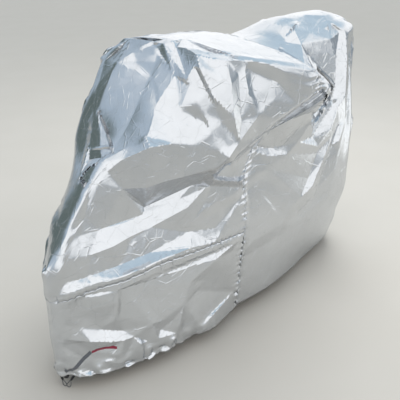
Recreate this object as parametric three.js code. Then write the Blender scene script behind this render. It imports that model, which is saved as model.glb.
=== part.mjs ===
// A fitted motorcycle cover of thin silver film cloth, as it hangs over a parked motorcycle that is left out.
// Millimetres. +X runs to the rear, -Y is the near side, +Z is up.
// The origin is under the top at the handlebar, where what is left out holds the cover up.
import * as THREE from "three";

// Driving dimensions
const SHEET = 2;
const SEAM_GAP = 0.5;
const ORIGIN_ALONG = 991.4;
const ORIGIN_UP = 1188;
const LEAN = 0.09;
const SKIRT_UP_FRONT = 345;
const SKIRT_UP_SEAM = 390;
const SKIRT_ARCH = 25;
const SKEW_FROM_UP = 600;
const SKEW_FULL_UP = 1050;
const LEAN_FROM_UP = 200;
const LEAN_FULL_UP = 1000;

// The sections across the cover from the front tip to the rear end, each drawn upright before it leans and turns.
// spine: along is the place on the length, rake its slope to the rear per metre of height, sway its shift to the near side.
// near and far: how far out and up the brow, shoulder, waist, skirt line and hem lie; skew turns a side with the handlebar.
const SPINE = ["along", "rake", "sway", "crownUp"];
const SIDE = [
  "skew", "browOut", "browUp", "shoulderOut", "shoulderUp", "waistOut", "waistUp", "skirtOut", "hemOut",
];
const SECTIONS = [
  { at: "tip", spine: [0, 0, 120, 470], near: [0, 8, 460, 12, 430, 14, 390, 16, 14] },
  {
    at: "tyre", spine: [50, 0, 118, 545],
    near: [0, 25, 540, 45, 510, 54, 450, 60, 75],
    far: [0, 35, 535, 70, 500, 85, 430, 85, 75],
  },
  {
    at: "wheel", spine: [140, 0, 110, 660],
    near: [0, 22, 655, 30, 620, 36, 572, 90, 142],
    far: [0, 60, 650, 120, 595, 140, 480, 150, 142],
  },
  {
    at: "fender", spine: [280, 0, 95, 810],
    near: [0, 28, 806, 50, 715, 72, 584, 155, 207],
    far: [0.1, 110, 765, 200, 700, 230, 520, 240, 225],
  },
  {
    at: "nose", spine: [430, 0, 75, 905],
    near: [0, 153, 902, 165, 746, 105, 626, 187, 246],
    far: [0.4, 150, 865, 285, 810, 320, 560, 310, 280],
  },
  {
    at: "screen", spine: [560, 0, 60, 1060],
    near: [0.1, 135, 1015, 212, 765, 162, 663, 222, 268],
    far: [0.28, 160, 1060, 315, 945, 355, 600, 335, 295],
  },
  {
    at: "cowl", spine: [690, 0, 45, 1230],
    near: [0.1, 225, 1205, 300, 822, 228, 680, 250, 285],
    far: [0.38, 190, 1190, 340, 1030, 375, 660, 350, 305],
  },
  {
    at: "seam", spine: [860, 95, 10, 1220],
    near: [0.74, 335, 1115, 385, 1035, 240, 750, 288, 285],
    far: [0.74, 270, 1150, 395, 1060, 370, 700, 345, 305],
  },
  {
    at: "bars", spine: [920, 60, 0, 1190],
    near: [0.74, 330, 1112, 415, 1030, 250, 760, 293, 293],
    far: [0.7, 275, 1138, 415, 1050, 365, 700, 340, 305],
  },
  {
    at: "tank", spine: [1060, 40, 0, 1140],
    near: [0.62, 262, 1098, 385, 992, 262, 740, 294, 294],
    far: [0.52, 255, 1085, 385, 970, 335, 700, 325, 305],
  },
  { at: "seat", spine: [1270, 20, 0, 1160], near: [0.3, 190, 1122, 296, 965, 282, 640, 294, 268] },
  { at: "hump", spine: [1450, 10, 0, 1232], near: [0, 132, 1190, 206, 1010, 276, 640, 290, 228] },
  { at: "box", spine: [1680, 22, 0, 1238], near: [0, 126, 1208, 188, 1060, 264, 640, 268, 175] },
  { at: "tail", spine: [1820, 34, 0, 1208], near: [0, 106, 1185, 150, 1060, 182, 640, 184, 120] },
  { at: "end", spine: [1900, 56, 0, 1095], near: [0, 8, 1085, 15, 960, 18, 600, 18, 14] },
];

// Levels round a section: 0 near hem, 1 skirt line, 2 waist, 3 shoulder, 4 brow, 5 crown, then the same down the far side.
const SKIRT_LEVEL = 1;
const CROWN_LEVEL = 5;
const LAST_LEVEL = 10;
const STEPS_PER_LEVEL = [4, 4, 4, 4, 3, 3, 4, 4, 4, 4];

// Stations along the cover are section numbers; the transverse seam is the section named seam.
const SEAM_STATION = SECTIONS.findIndex((section) => section.at === "seam");
const LAST_STATION = SECTIONS.length - 1;
const STEPS_PER_STATION = [2, 4, 4, 4, 5, 4, 5, 3, 4, 5, 4, 5, 4, 3];

// The main folds, each a line on the sheet through three places given as station and level.
// width is the reach to each side of the line and rise the height of its crest, or the depth of a valley where negative.
const FOLD = [
  "startStation", "startLevel", "midStation", "midLevel", "endStation", "endLevel", "width", "rise",
];
const FOLDS = [
  { what: "upper diagonal crest", row: [1.2, 2.6, 2.4, 1.75, 6, 1.75, 60, 22] },
  { what: "lower crest on the skirt line", row: [0.3, 1.12, 3.2, 1.1, 6.8, 1.05, 55, 20] },
  { what: "valley above it", row: [1, 1.5, 2.9, 1.38, 5.4, 1.36, 50, -10] },
  { what: "lamp brow", row: [3.6, 4.2, 4.8, 3.5, 6.2, 3.2, 60, 18] },
  { what: "arm ridge", row: [5.9, 4, 6.5, 3.9, 7.6, 3.6, 55, 14] },
  { what: "skirt pocket", row: [1.1, 0.73, 2, 0.58, 2.9, 0.43, 45, -12] },
  { what: "skirt upright", row: [4.5, 0.85, 4.65, 0.45, 4.75, 0.05, 45, 10] },
  { what: "front face crest", row: [5.5, 4.6, 5.9, 3.8, 6.4, 2.9, 55, 16] },
  { what: "front face valley", row: [6.2, 4.3, 6.4, 3.6, 6.6, 2.9, 45, -14] },
  { what: "near grip streak", row: [8.3, 2.9, 9, 2.2, 9.5, 1.4, 65, 14] },
  { what: "near rear drag", row: [9.6, 0.85, 10.5, 1.2, 11.4, 1.6, 60, 12] },
  { what: "near tail crest", row: [12.2, 3.9, 12.3, 2.6, 12, 1, 65, 12] },
  { what: "near tail valley", row: [12.9, 3.8, 13, 2.6, 12.9, 1, 55, -12] },
  { what: "hump crease", row: [10.3, 4.6, 11, 4.2, 11.8, 3.6, 60, 12] },
  { what: "far upper crest", row: [1.2, 6.6, 2.8, 7.6, 5.6, 8.1, 70, 26] },
  { what: "far skirt line crest", row: [0.5, 8.85, 3, 8.8, 6.6, 8.95, 60, 20] },
  { what: "far valley between", row: [1.6, 7.7, 3.4, 8.2, 5.4, 8.5, 60, -14] },
  { what: "far rear drag", row: [9.4, 9.1, 10.5, 8.7, 11.6, 8.2, 60, 14] },
  { what: "far tail crest", row: [12.1, 6.2, 12.4, 7.6, 12.1, 9, 65, 14] },
  { what: "far grip streak", row: [8.2, 7.1, 8.9, 7.8, 9.4, 8.6, 65, 14] },
];
const FOLD_SAMPLES = 32;

// What pushes the sheet out from inside, or leaves it hollow: a place, its reach and how far it moves the sheet.
const KNOB = ["station", "level", "reach", "push"];
const KNOBS = [
  { what: "indicator", row: [6.1, 3, 70, 14] },
  { what: "hollow by the seam", row: [6.7, 2.4, 120, -24] },
];

// The tie at the front tip: flat webbing laid on the skirt, given by places along its middle line.
const WEBBING_LIFT = 0.6;
const STRAP = { width: 14, thick: 1.4, places: [[0.42, 0.045], [0.83, 0.085], [1.25, 0.18], [1.64, 0.26]] };
const TAPE = { width: 11, thick: 1, places: [[1.69, 0.262], [2.1, 0.285], [2.45, 0.255]] };
const WEBBING_STEPS = 24;
const WEBBING_ACROSS = 4;
const TOGGLE = { station: 0.4, width: 27, drop: 14, thick: 10 };
const TOGGLE_SIDES = 16;

// The two wire loops hang from sleeves at the hem, each tilted in the plane that faces the near front corner.
const VIEW_TURN = THREE.MathUtils.degToRad(43);
const SLEEVE_RADIUS = 5;
const SLEEVE_END_RADIUS = 3.9;
const SLEEVE_LENGTH = 26;
const SLEEVE_SIDES = 16;
const WIRE = 2.8;
const WIRE_SIDES = 8;
const WIRE_STEPS = 28;
const WIRE_LEGS_APART = 3.6;
const WIRE_GAP = 0.6;
const LOOPS = [
  { name: "left", station: 0.12, sleeveTilt: 11, loopTilt: 16, length: 32, width: 13 },
  { name: "right", station: 0.82, sleeveTilt: -33, loopTilt: -22, length: 36, width: 16 },
];

// Colours
const SILVER = 0xb9bec4;
const SILVER_REAR = 0xb4b9bf;
const SILVER_SKIRT = 0xb0b5bb;
const WEBBING_GREY = 0x6f737a;
const TAPE_RED = 0x9c2f4b;
const BLACK = 0x1a1b1d;
const WIRE_GREY = 0x9da3a8;

// Smooth values between table rows

// A curve through the values that never overshoots them.
function between(values, place) {
  const last = values.length - 1;
  const at = Math.min(Math.max(place, 0), last);
  const i = Math.min(Math.floor(at), last - 1);
  const slope = (k) => values[k + 1] - values[k];
  const tangent = (k) => {
    if (k === 0) return slope(0);
    if (k === last) return slope(last - 1);
    const before = slope(k - 1);
    const after = slope(k);
    return before * after > 0 ? (2 * before * after) / (before + after) : 0;
  };
  const f = at - i;
  const ff = f * f;
  const fff = ff * f;
  const held = values[i] * (2 * fff - 3 * ff + 1) + values[i + 1] * (3 * ff - 2 * fff);
  return held + tangent(i) * (fff - 2 * ff + f) + tangent(i + 1) * (fff - ff);
}

function ease(value, from, full) {
  const share = Math.min(Math.max((value - from) / (full - from), 0), 1);
  return share * share * (3 - 2 * share);
}

function bell(share) {
  return share >= 1 ? 0 : 0.5 + 0.5 * Math.cos(Math.PI * share);
}

function mix(a, b, share) {
  return a + (b - a) * share;
}

function named(columns, row) {
  return Object.fromEntries(columns.map((column, i) => [column, row[i]]));
}

function columnsAt(columns, rows, station) {
  return Object.fromEntries(columns.map((column, i) => [column, between(rows.map((row) => row[i]), station)]));
}

// The smooth form

const SPINE_ROWS = SECTIONS.map((section) => section.spine);
const NEAR_ROWS = SECTIONS.map((section) => section.near);
const FAR_ROWS = SECTIONS.map((section) => section.far ?? section.near);
const SEAM_ALONG = SECTIONS[SEAM_STATION].spine[SPINE.indexOf("along")];
const drawn = new Map();

// The outline of one section: how far out and up each level lies.
function sectionAt(station) {
  if (drawn.has(station)) return drawn.get(station);
  const spine = columnsAt(SPINE, SPINE_ROWS, station);
  const near = columnsAt(SIDE, NEAR_ROWS, station);
  const far = columnsAt(SIDE, FAR_ROWS, station);
  const toSeam = Math.min(spine.along / SEAM_ALONG, 1);
  const skirtUp = mix(SKIRT_UP_FRONT, SKIRT_UP_SEAM, toSeam) + SKIRT_ARCH * Math.sin(Math.PI * toSeam);
  const half = (side) => [
    [side.hemOut, 0],
    [side.skirtOut, skirtUp],
    [side.waistOut, side.waistUp],
    [side.shoulderOut, side.shoulderUp],
    [side.browOut, side.browUp],
  ];
  const farHalf = half(far).map(([out, up]) => [-out, up]);
  const outline = [...half(near), [0, spine.crownUp], ...farHalf.reverse()];
  const made = {
    spine,
    nearSkew: near.skew,
    farSkew: far.skew,
    outs: outline.map((place) => place[0]),
    ups: outline.map((place) => place[1]),
  };
  drawn.set(station, made);
  return made;
}

// A place of the smooth form before folds and knobs.
function formPoint(station, level) {
  const section = sectionAt(station);
  const out = between(section.outs, level);
  const up = between(section.ups, level);
  const skew = out > 0 ? section.nearSkew : section.farSkew;
  const turned = skew * out * ease(up, SKEW_FROM_UP, SKEW_FULL_UP);
  const along = section.spine.along + (section.spine.rake * up) / 1000 + turned;
  const leant = up - LEAN * out * ease(up, LEAN_FROM_UP, LEAN_FULL_UP);
  return new THREE.Vector3(along - ORIGIN_ALONG, -(out + section.spine.sway), leant - ORIGIN_UP);
}

const FORM_STEP = 0.02;
function formNormal(station, level) {
  const s0 = Math.max(station - FORM_STEP, 0);
  const s1 = Math.min(station + FORM_STEP, LAST_STATION);
  const l0 = Math.max(level - FORM_STEP, 0);
  const l1 = Math.min(level + FORM_STEP, LAST_LEVEL);
  const across = formPoint(s1, level).sub(formPoint(s0, level));
  const upward = formPoint(station, l1).sub(formPoint(station, l0));
  return across.cross(upward).normalize();
}

// Folds and knobs

const foldLines = FOLDS.map(({ row }) => {
  const fold = named(FOLD, row);
  const samples = [];
  for (let k = 0; k <= FOLD_SAMPLES; k++) {
    const share = k / FOLD_SAMPLES;
    const station = between([fold.startStation, fold.midStation, fold.endStation], 2 * share);
    const level = between([fold.startLevel, fold.midLevel, fold.endLevel], 2 * share);
    const strength = Math.sqrt(bell(Math.abs(2 * share - 1)));
    samples.push({ place: formPoint(station, level), strength });
  }
  return { fold, samples };
});

const knobPlaces = KNOBS.map(({ row }) => {
  const knob = named(KNOB, row);
  return { knob, place: formPoint(knob.station, knob.level) };
});

// How far folds and knobs move the sheet at a place of the smooth form.
function moved(place) {
  let sum = 0;
  for (const { fold, samples } of foldLines) {
    let nearest = samples[0];
    let distance = Infinity;
    for (const sample of samples) {
      const apart = sample.place.distanceTo(place);
      if (apart < distance) {
        distance = apart;
        nearest = sample;
      }
    }
    sum += fold.rise * nearest.strength * bell(distance / fold.width);
  }
  for (const { knob, place: centre } of knobPlaces) {
    sum += knob.push * bell(centre.distanceTo(place) / knob.reach);
  }
  return sum;
}

// The sheet as one grid of stations and levels

function spread(stepsPerGap) {
  const places = [0];
  stepsPerGap.forEach((steps, gap) => {
    for (let k = 1; k <= steps; k++) places.push(gap + k / steps);
  });
  return places;
}
const stations = spread(STEPS_PER_STATION);
const levels = spread(STEPS_PER_LEVEL);
const seamRow = stations.indexOf(SEAM_STATION);
const lastRow = stations.length - 1;
const skirtColumn = levels.indexOf(SKIRT_LEVEL);
const crownColumn = levels.indexOf(CROWN_LEVEL);
const lastColumn = levels.length - 1;
const opposite = (column) => lastColumn - column;

// The hem stays level, so the folds fade out towards it.
const HEM_FADE = 0.12;
const grid = stations.map((station) =>
  levels.map((level) => {
    const place = formPoint(station, level);
    const fade = ease(Math.min(level, LAST_LEVEL - level), 0, HEM_FADE);
    return place.clone().addScaledVector(formNormal(station, level), fade * moved(place));
  }),
);

// Quads of the grid between rows and columns, and the strips that close the front tip and the rear end.
function gridQuads(rowFrom, rowTo, columnFrom, columnTo) {
  const quads = [];
  for (let i = rowFrom; i < rowTo; i++) {
    for (let j = columnFrom; j < columnTo; j++) {
      quads.push([[i, j], [i + 1, j], [i + 1, j + 1], [i, j + 1]]);
    }
  }
  return quads;
}
function tipQuads(columnFrom, columnTo) {
  const quads = [];
  for (let j = columnFrom; j < columnTo; j++) {
    quads.push([[0, j], [0, j + 1], [0, opposite(j + 1)], [0, opposite(j)]]);
  }
  return quads;
}
function endQuads() {
  const quads = [];
  for (let j = 0; j < crownColumn; j++) {
    quads.push([[lastRow, j + 1], [lastRow, j], [lastRow, opposite(j)], [lastRow, opposite(j + 1)]]);
  }
  return quads;
}

// Triangles of a quad whose corners may fall together at the crown.
function triangles(quad) {
  const corners = quad.filter(([i, j], k) => {
    const [ni, nj] = quad[(k + 1) % 4];
    return i !== ni || j !== nj;
  });
  const made = [];
  for (let k = 1; k + 1 < corners.length; k++) made.push([corners[0], corners[k], corners[k + 1]]);
  return made;
}

// One normal for each place of the whole sheet, shared by the panels that meet there.
const normals = grid.map((row) => row.map(() => new THREE.Vector3()));
const wholeSheet = [...gridQuads(0, lastRow, 0, lastColumn), ...tipQuads(0, crownColumn), ...endQuads()];
for (const quad of wholeSheet) {
  for (const corners of triangles(quad)) {
    const [a, b, c] = corners.map(([i, j]) => grid[i][j]);
    const face = b.clone().sub(a).cross(c.clone().sub(a));
    for (const [i, j] of corners) normals[i][j].add(face);
  }
}
for (const row of normals) row.forEach((normal) => normal.normalize());

// The step that takes a panel's edge half the gap back from a seam, to the side that the signs say.
function seamShift(i, j, rowSign, columnSign) {
  const upward = grid[i][Math.min(j + 1, lastColumn)].clone().sub(grid[i][Math.max(j - 1, 0)]);
  const rearward = grid[Math.min(i + 1, lastRow)][j].clone().sub(grid[Math.max(i - 1, 0)][j]);
  const acrossRows = upward.cross(normals[i][j]).normalize();
  const acrossColumns = normals[i][j].clone().cross(rearward).normalize();
  const shift = acrossRows.multiplyScalar((rowSign * SEAM_GAP) / 2);
  return shift.addScaledVector(acrossColumns, (columnSign * SEAM_GAP) / 2);
}

// Solids

function meshOf(name, geometry, colour, metalness, roughness) {
  const mesh = new THREE.Mesh(geometry, new THREE.MeshStandardMaterial({ color: colour, metalness, roughness }));
  mesh.name = name;
  return mesh;
}

function geometryOf(points, faces) {
  const geometry = new THREE.BufferGeometry();
  const flat = points.flatMap((point) => [point.x, point.y, point.z]);
  geometry.setAttribute("position", new THREE.Float32BufferAttribute(flat, 3));
  geometry.setIndex(faces.flat());
  geometry.computeVertexNormals();
  return geometry;
}

// A closed sheet from its outer points and inner points and the triangles of the outer side.
function sheetGeometry(outer, inner, faces) {
  const count = outer.length;
  const sides = new Set(faces.flatMap(([a, b, c]) => [a + "," + b, b + "," + c, c + "," + a]));
  const closed = [...faces];
  for (const [a, b, c] of faces) {
    closed.push([a + count, c + count, b + count]);
    for (const [from, to] of [[a, b], [b, c], [c, a]]) {
      if (sides.has(to + "," + from)) continue;
      closed.push([from, from + count, to + count], [from, to + count, to]);
    }
  }
  return geometryOf([...outer, ...inner], closed);
}

// A panel cut from the grid, with its seam edges set back.
function panel(name, colour, quads, shiftAt) {
  const ids = new Map();
  const outer = [];
  const inner = [];
  const idOf = ([i, j]) => {
    const key = i + "," + j;
    if (!ids.has(key)) {
      ids.set(key, outer.length);
      const place = grid[i][j].clone().add(shiftAt(i, j));
      outer.push(place);
      inner.push(place.clone().addScaledVector(normals[i][j], -SHEET));
    }
    return ids.get(key);
  };
  const faces = quads.flatMap(triangles).map((corners) => corners.map(idOf));
  return meshOf(name, sheetGeometry(outer, inner, faces), colour, 0.8, 0.35);
}

const frontPanel = panel(
  "front_panel",
  SILVER,
  [...gridQuads(0, seamRow, skirtColumn, opposite(skirtColumn)), ...tipQuads(skirtColumn, crownColumn)],
  (i, j) => {
    const rowSign = i === seamRow ? -1 : 0;
    const columnSign = j === skirtColumn ? 1 : j === opposite(skirtColumn) ? -1 : 0;
    return seamShift(i, j, rowSign, columnSign);
  },
);
const frontSkirt = panel(
  "front_skirt",
  SILVER_SKIRT,
  [
    ...gridQuads(0, seamRow, 0, skirtColumn),
    ...gridQuads(0, seamRow, opposite(skirtColumn), lastColumn),
    ...tipQuads(0, skirtColumn),
  ],
  (i, j) => {
    const rowSign = i === seamRow ? -1 : 0;
    const columnSign = j === skirtColumn ? -1 : j === opposite(skirtColumn) ? 1 : 0;
    return seamShift(i, j, rowSign, columnSign);
  },
);
const rearPanel = panel(
  "rear_panel",
  SILVER_REAR,
  [...gridQuads(seamRow, lastRow, 0, lastColumn), ...endQuads()],
  (i, j) => seamShift(i, j, i === seamRow ? 1 : 0, 0),
);

// A place on the faceted sheet and its normal.
function clothAt(station, level) {
  const i = Math.max(stations.findIndex((s) => s > station) - 1, 0);
  const j = Math.max(levels.findIndex((l) => l > level) - 1, 0);
  const f = (station - stations[i]) / (stations[i + 1] - stations[i]);
  const g = (level - levels[j]) / (levels[j + 1] - levels[j]);
  // Each quad of the sheet is two triangles, and the place lies in one of them.
  const blend = (table) => {
    const start = table[i][j];
    const far = table[i + 1][j + 1];
    const side = g <= f ? table[i + 1][j] : table[i][j + 1];
    const made = start.clone().multiplyScalar(1 - Math.max(f, g));
    return made.addScaledVector(side, Math.abs(f - g)).addScaledVector(far, Math.min(f, g));
  };
  return { place: blend(grid), normal: blend(normals).normalize() };
}

// The station and level that lie a step away on the sheet.
const NUDGE = 0.01;
function stepOnCloth(station, level, step) {
  const { place } = clothAt(station, level);
  const perStation = clothAt(station + NUDGE, level).place.sub(place).divideScalar(NUDGE);
  const perLevel = clothAt(station, level + NUDGE).place.sub(place).divideScalar(NUDGE);
  const aa = perStation.dot(perStation);
  const ab = perStation.dot(perLevel);
  const bb = perLevel.dot(perLevel);
  const sa = step.dot(perStation);
  const sb = step.dot(perLevel);
  const scale = 1 / (aa * bb - ab * ab);
  return [station + (sa * bb - sb * ab) * scale, level + (sb * aa - sa * ab) * scale];
}

// Flat webbing that follows the sheet just clear of it.
function webbing(name, colour, strip) {
  const middle = [];
  for (let k = 0; k <= WEBBING_STEPS; k++) {
    const place = (k / WEBBING_STEPS) * (strip.places.length - 1);
    middle.push([0, 1].map((axis) => between(strip.places.map((row) => row[axis]), place)));
  }
  const outer = [];
  const inner = [];
  middle.forEach(([station, level], k) => {
    const here = clothAt(station, level);
    const before = clothAt(...middle[Math.max(k - 1, 0)]).place;
    const after = clothAt(...middle[Math.min(k + 1, WEBBING_STEPS)]).place;
    const side = here.normal.clone().cross(after.sub(before)).normalize();
    for (let m = 0; m <= WEBBING_ACROSS; m++) {
      const out = strip.width * (m / WEBBING_ACROSS - 0.5);
      const at = clothAt(...stepOnCloth(station, level, side.clone().multiplyScalar(out)));
      inner.push(at.place.clone().addScaledVector(at.normal, WEBBING_LIFT));
      outer.push(at.place.clone().addScaledVector(at.normal, WEBBING_LIFT + strip.thick));
    }
  });
  const faces = [];
  const id = (k, m) => k * (WEBBING_ACROSS + 1) + m;
  for (let k = 0; k < WEBBING_STEPS; k++) {
    for (let m = 0; m < WEBBING_ACROSS; m++) {
      faces.push([id(k, m), id(k + 1, m), id(k + 1, m + 1)], [id(k, m), id(k + 1, m + 1), id(k, m + 1)]);
    }
  }
  return meshOf(name, sheetGeometry(outer, inner, faces), colour, 0, 0.8);
}
const hemStrap = webbing("hem_strap", WEBBING_GREY, STRAP);
const redTape = webbing("red_tape", TAPE_RED, TAPE);

// The middle of the hem's lower edge on the near side, and the direction that the edge runs in.
function hemAt(station) {
  const { place, normal } = clothAt(station, 0);
  const ahead = clothAt(station + NUDGE, 0).place.sub(place).normalize();
  return { place: place.addScaledVector(normal, -SHEET / 2), ahead };
}

// The black stop: a half-round piece whose flat top faces the hem.
function toggle() {
  const { place, ahead } = hemAt(TOGGLE.station);
  const outline = [];
  for (let k = 0; k <= TOGGLE_SIDES; k++) {
    const turn = Math.PI + (Math.PI * k) / TOGGLE_SIDES;
    outline.push(new THREE.Vector2((TOGGLE.width / 2) * Math.cos(turn), TOGGLE.drop * Math.sin(turn)));
  }
  const geometry = new THREE.ExtrudeGeometry(new THREE.Shape(outline), { depth: TOGGLE.thick, bevelEnabled: false });
  geometry.translate(0, 0, -TOGGLE.thick / 2);
  geometry.rotateX(Math.PI / 2);
  geometry.rotateZ(Math.atan2(ahead.y, ahead.x));
  geometry.translate(place.x, place.y, place.z - SEAM_GAP);
  return meshOf("hem_toggle", geometry, BLACK, 0, 0.6);
}
const hemToggle = toggle();

// A sleeve and its loop of wire.
const RIGHTWARD = new THREE.Vector3(Math.cos(VIEW_TURN), -Math.sin(VIEW_TURN), 0);
function hanging(tilt) {
  const turn = THREE.MathUtils.degToRad(tilt);
  return new THREE.Vector3(0, 0, -Math.cos(turn)).addScaledVector(RIGHTWARD, Math.sin(turn));
}

// Half the outline of a loop: how far down it and how wide, as shares of its length and width.
const TEARDROP = { down: [0, 0.12, 0.4, 0.7, 0.92, 1], wide: [0, 0.12, 0.66, 1, 0.66, 0] };
function wireLoop({ name, station, sleeveTilt, loopTilt, length, width }) {
  const axis = hanging(sleeveTilt);
  const { place } = hemAt(station);
  const lowered = SEAM_GAP + SLEEVE_END_RADIUS * Math.abs(Math.sin(THREE.MathUtils.degToRad(sleeveTilt)));
  const top = place.clone().setZ(place.z - lowered);
  const profile = [
    [0, -SLEEVE_LENGTH / 2],
    [SLEEVE_END_RADIUS, -SLEEVE_LENGTH / 2],
    [SLEEVE_RADIUS, -SLEEVE_LENGTH / 4],
    [SLEEVE_RADIUS, SLEEVE_LENGTH / 4],
    [SLEEVE_END_RADIUS, SLEEVE_LENGTH / 2],
    [0, SLEEVE_LENGTH / 2],
  ].map(([radius, height]) => new THREE.Vector2(radius, height));
  const sleeve = new THREE.LatheGeometry(profile, SLEEVE_SIDES);
  const upright = new THREE.Vector3(0, 1, 0);
  sleeve.applyQuaternion(new THREE.Quaternion().setFromUnitVectors(upright, axis.clone().negate()));
  const middle = top.clone().addScaledVector(axis, SLEEVE_LENGTH / 2);
  sleeve.translate(middle.x, middle.y, middle.z);

  const bottom = top.clone().addScaledVector(axis, SLEEVE_LENGTH + WIRE_GAP);
  const down = hanging(loopTilt);
  const acrossSleeve = RIGHTWARD.clone().addScaledVector(axis, -RIGHTWARD.dot(axis)).normalize();
  const half = TEARDROP.down.map((share, k) => ({ share, wide: TEARDROP.wide[k] }));
  const place3 = ({ share, wide }, hand) => {
    const out = hand * mix(WIRE_LEGS_APART / 2, width / 2, wide);
    const lead = share < TEARDROP.down[2] ? axis : down;
    return bottom.clone().addScaledVector(lead, share * length).addScaledVector(acrossSleeve, out);
  };
  const legs = half.slice(0, -1);
  const lowest = bottom.clone().addScaledVector(down, length);
  const curve = new THREE.CatmullRomCurve3([
    ...legs.map((step) => place3(step, -1)),
    lowest,
    ...[...legs].reverse().map((step) => place3(step, 1)),
  ]);
  const section = new THREE.Shape();
  for (let k = 0; k < WIRE_SIDES; k++) {
    const turn = (2 * Math.PI * k) / WIRE_SIDES;
    const corner = [(WIRE / 2) * Math.cos(turn), (WIRE / 2) * Math.sin(turn)];
    if (k === 0) section.moveTo(...corner);
    else section.lineTo(...corner);
  }
  section.closePath();
  const wire = new THREE.ExtrudeGeometry(section, { steps: WIRE_STEPS, extrudePath: curve, bevelEnabled: false });
  return [
    meshOf("loop_sleeve_" + name, sleeve, BLACK, 0, 0.5),
    meshOf("wire_loop_" + name, wire, WIRE_GREY, 0.6, 0.3),
  ];
}

const cover = new THREE.Group();
cover.name = "motorcycle_cover";
cover.add(frontPanel, frontSkirt, rearPanel, hemStrap, redTape, hemToggle, ...LOOPS.flatMap(wireLoop));
export default cover;
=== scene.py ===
import math

import bpy
import numpy as np
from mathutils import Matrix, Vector
from mathutils.geometry import delaunay_2d_cdt


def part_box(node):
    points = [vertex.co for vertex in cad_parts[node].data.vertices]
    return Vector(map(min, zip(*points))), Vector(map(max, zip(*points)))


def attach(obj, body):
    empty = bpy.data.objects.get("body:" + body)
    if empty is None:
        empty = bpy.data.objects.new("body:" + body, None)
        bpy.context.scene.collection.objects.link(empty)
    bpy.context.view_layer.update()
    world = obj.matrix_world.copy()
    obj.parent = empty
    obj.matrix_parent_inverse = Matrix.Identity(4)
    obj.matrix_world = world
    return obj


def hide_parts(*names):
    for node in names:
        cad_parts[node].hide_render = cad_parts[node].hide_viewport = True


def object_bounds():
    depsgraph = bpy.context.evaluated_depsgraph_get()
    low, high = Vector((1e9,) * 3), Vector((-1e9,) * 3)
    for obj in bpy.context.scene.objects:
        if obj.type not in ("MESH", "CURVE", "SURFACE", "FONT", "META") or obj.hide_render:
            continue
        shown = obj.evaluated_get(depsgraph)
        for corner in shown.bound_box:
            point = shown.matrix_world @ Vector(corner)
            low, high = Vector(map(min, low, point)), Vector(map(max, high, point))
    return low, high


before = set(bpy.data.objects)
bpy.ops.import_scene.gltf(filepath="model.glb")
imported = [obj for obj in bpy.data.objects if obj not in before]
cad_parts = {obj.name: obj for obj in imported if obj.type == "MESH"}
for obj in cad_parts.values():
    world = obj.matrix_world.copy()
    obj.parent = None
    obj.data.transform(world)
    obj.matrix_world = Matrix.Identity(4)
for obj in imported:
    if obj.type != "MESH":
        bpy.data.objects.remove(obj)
cad_low, cad_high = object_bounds()


# Viewpoint
# The camera stands off the near front corner of the cover, higher than its top, and looks down on it.
# Its square frame of 400 by 400 pixels holds the cover as the photograph does.
IMAGE_PX = 400
FOCAL_PX = 600
SENSOR_WIDTH = 36.0
CAMERA_PLACE = Vector((-1.8664, -1.905, 0.462))
CAMERA_TURN = math.radians(43.0)
CAMERA_PITCH = math.radians(24.9)

level_forward = Vector((math.sin(CAMERA_TURN), math.cos(CAMERA_TURN), 0))
view_right = Vector((math.cos(CAMERA_TURN), -math.sin(CAMERA_TURN), 0))
view_forward = level_forward * math.cos(CAMERA_PITCH) - Vector((0, 0, math.sin(CAMERA_PITCH)))
view_down = view_forward.cross(view_right)
lens = bpy.data.cameras.new("viewpoint")
lens.sensor_width = SENSOR_WIDTH
lens.lens = FOCAL_PX / IMAGE_PX * SENSOR_WIDTH
camera = bpy.data.objects.new("viewpoint", lens)
camera.location = CAMERA_PLACE
camera.rotation_euler = view_forward.to_track_quat("-Z", "Y").to_euler()
bpy.context.scene.collection.objects.link(camera)
bpy.context.scene.camera = camera


def photo_pixels(points):
    """The pixels of the photograph at which points of the object show."""
    away = np.asarray(points) - np.array(CAMERA_PLACE)
    depth = away @ np.array(view_forward)
    across = away @ np.array(view_right) / depth
    down = away @ np.array(view_down) / depth
    return IMAGE_PX / 2 + FOCAL_PX * np.stack([across, down], -1)


# Wire loops
# Two teardrop loops of thin plastic-coated steel wire hang from the hem at the front tip.
# Both legs of a loop come out of its sleeve, so each wire leaves the sleeve and goes back into it.
MM = 0.001
WIRE_DIAMETER = 2.8 * MM
WIRE_LEGS_APART = 3.6 * MM
SLEEVE_LENGTH = 26 * MM
WIRE_GAP = 0.6 * MM
TEARDROP_DOWN = [0, 0.12, 0.4, 0.7, 0.92, 1]
TEARDROP_WIDE = [0, 0.12, 0.66, 1, 0.66, 0]
STRAIGHT_STEPS = 2
WIRE_STEPS = 6
WIRE_ROUNDING = 3
WIRE_SCUFF_MM = 4
WIRE_COAT = "#565C60"
LOOPS = [
    {"name": "left", "top": (-0.98493, -0.14059, -1.18924), "sleeve_tilt": 11, "loop_tilt": 16,
     "length": 32 * MM, "width": 13 * MM, "wire_length": 0.072},
    {"name": "right", "top": (-0.95035, -0.18158, -1.1906), "sleeve_tilt": -33, "loop_tilt": -22,
     "length": 36 * MM, "width": 16 * MM, "wire_length": 0.082},
]


def linear(hex_colour):
    """An sRGB hex colour as linear red, green, blue and alpha."""
    parts = [int(hex_colour[k:k + 2], 16) / 255 for k in (1, 3, 5)]
    return [p / 12.92 if p <= 0.04045 else ((p + 0.055) / 1.055) ** 2.4 for p in parts] + [1.0]


def add_node(tree, kind, settings=None, inputs=None):
    """A node with its settings, its inputs given as values or as the sockets that feed them."""
    node = tree.nodes.new(kind)
    for name, value in (settings or {}).items():
        setattr(node, name, value)
    for name, value in (inputs or {}).items():
        if isinstance(value, bpy.types.NodeSocket):
            tree.links.new(value, node.inputs[name])
        else:
            node.inputs[name].default_value = value
    return node


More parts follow.
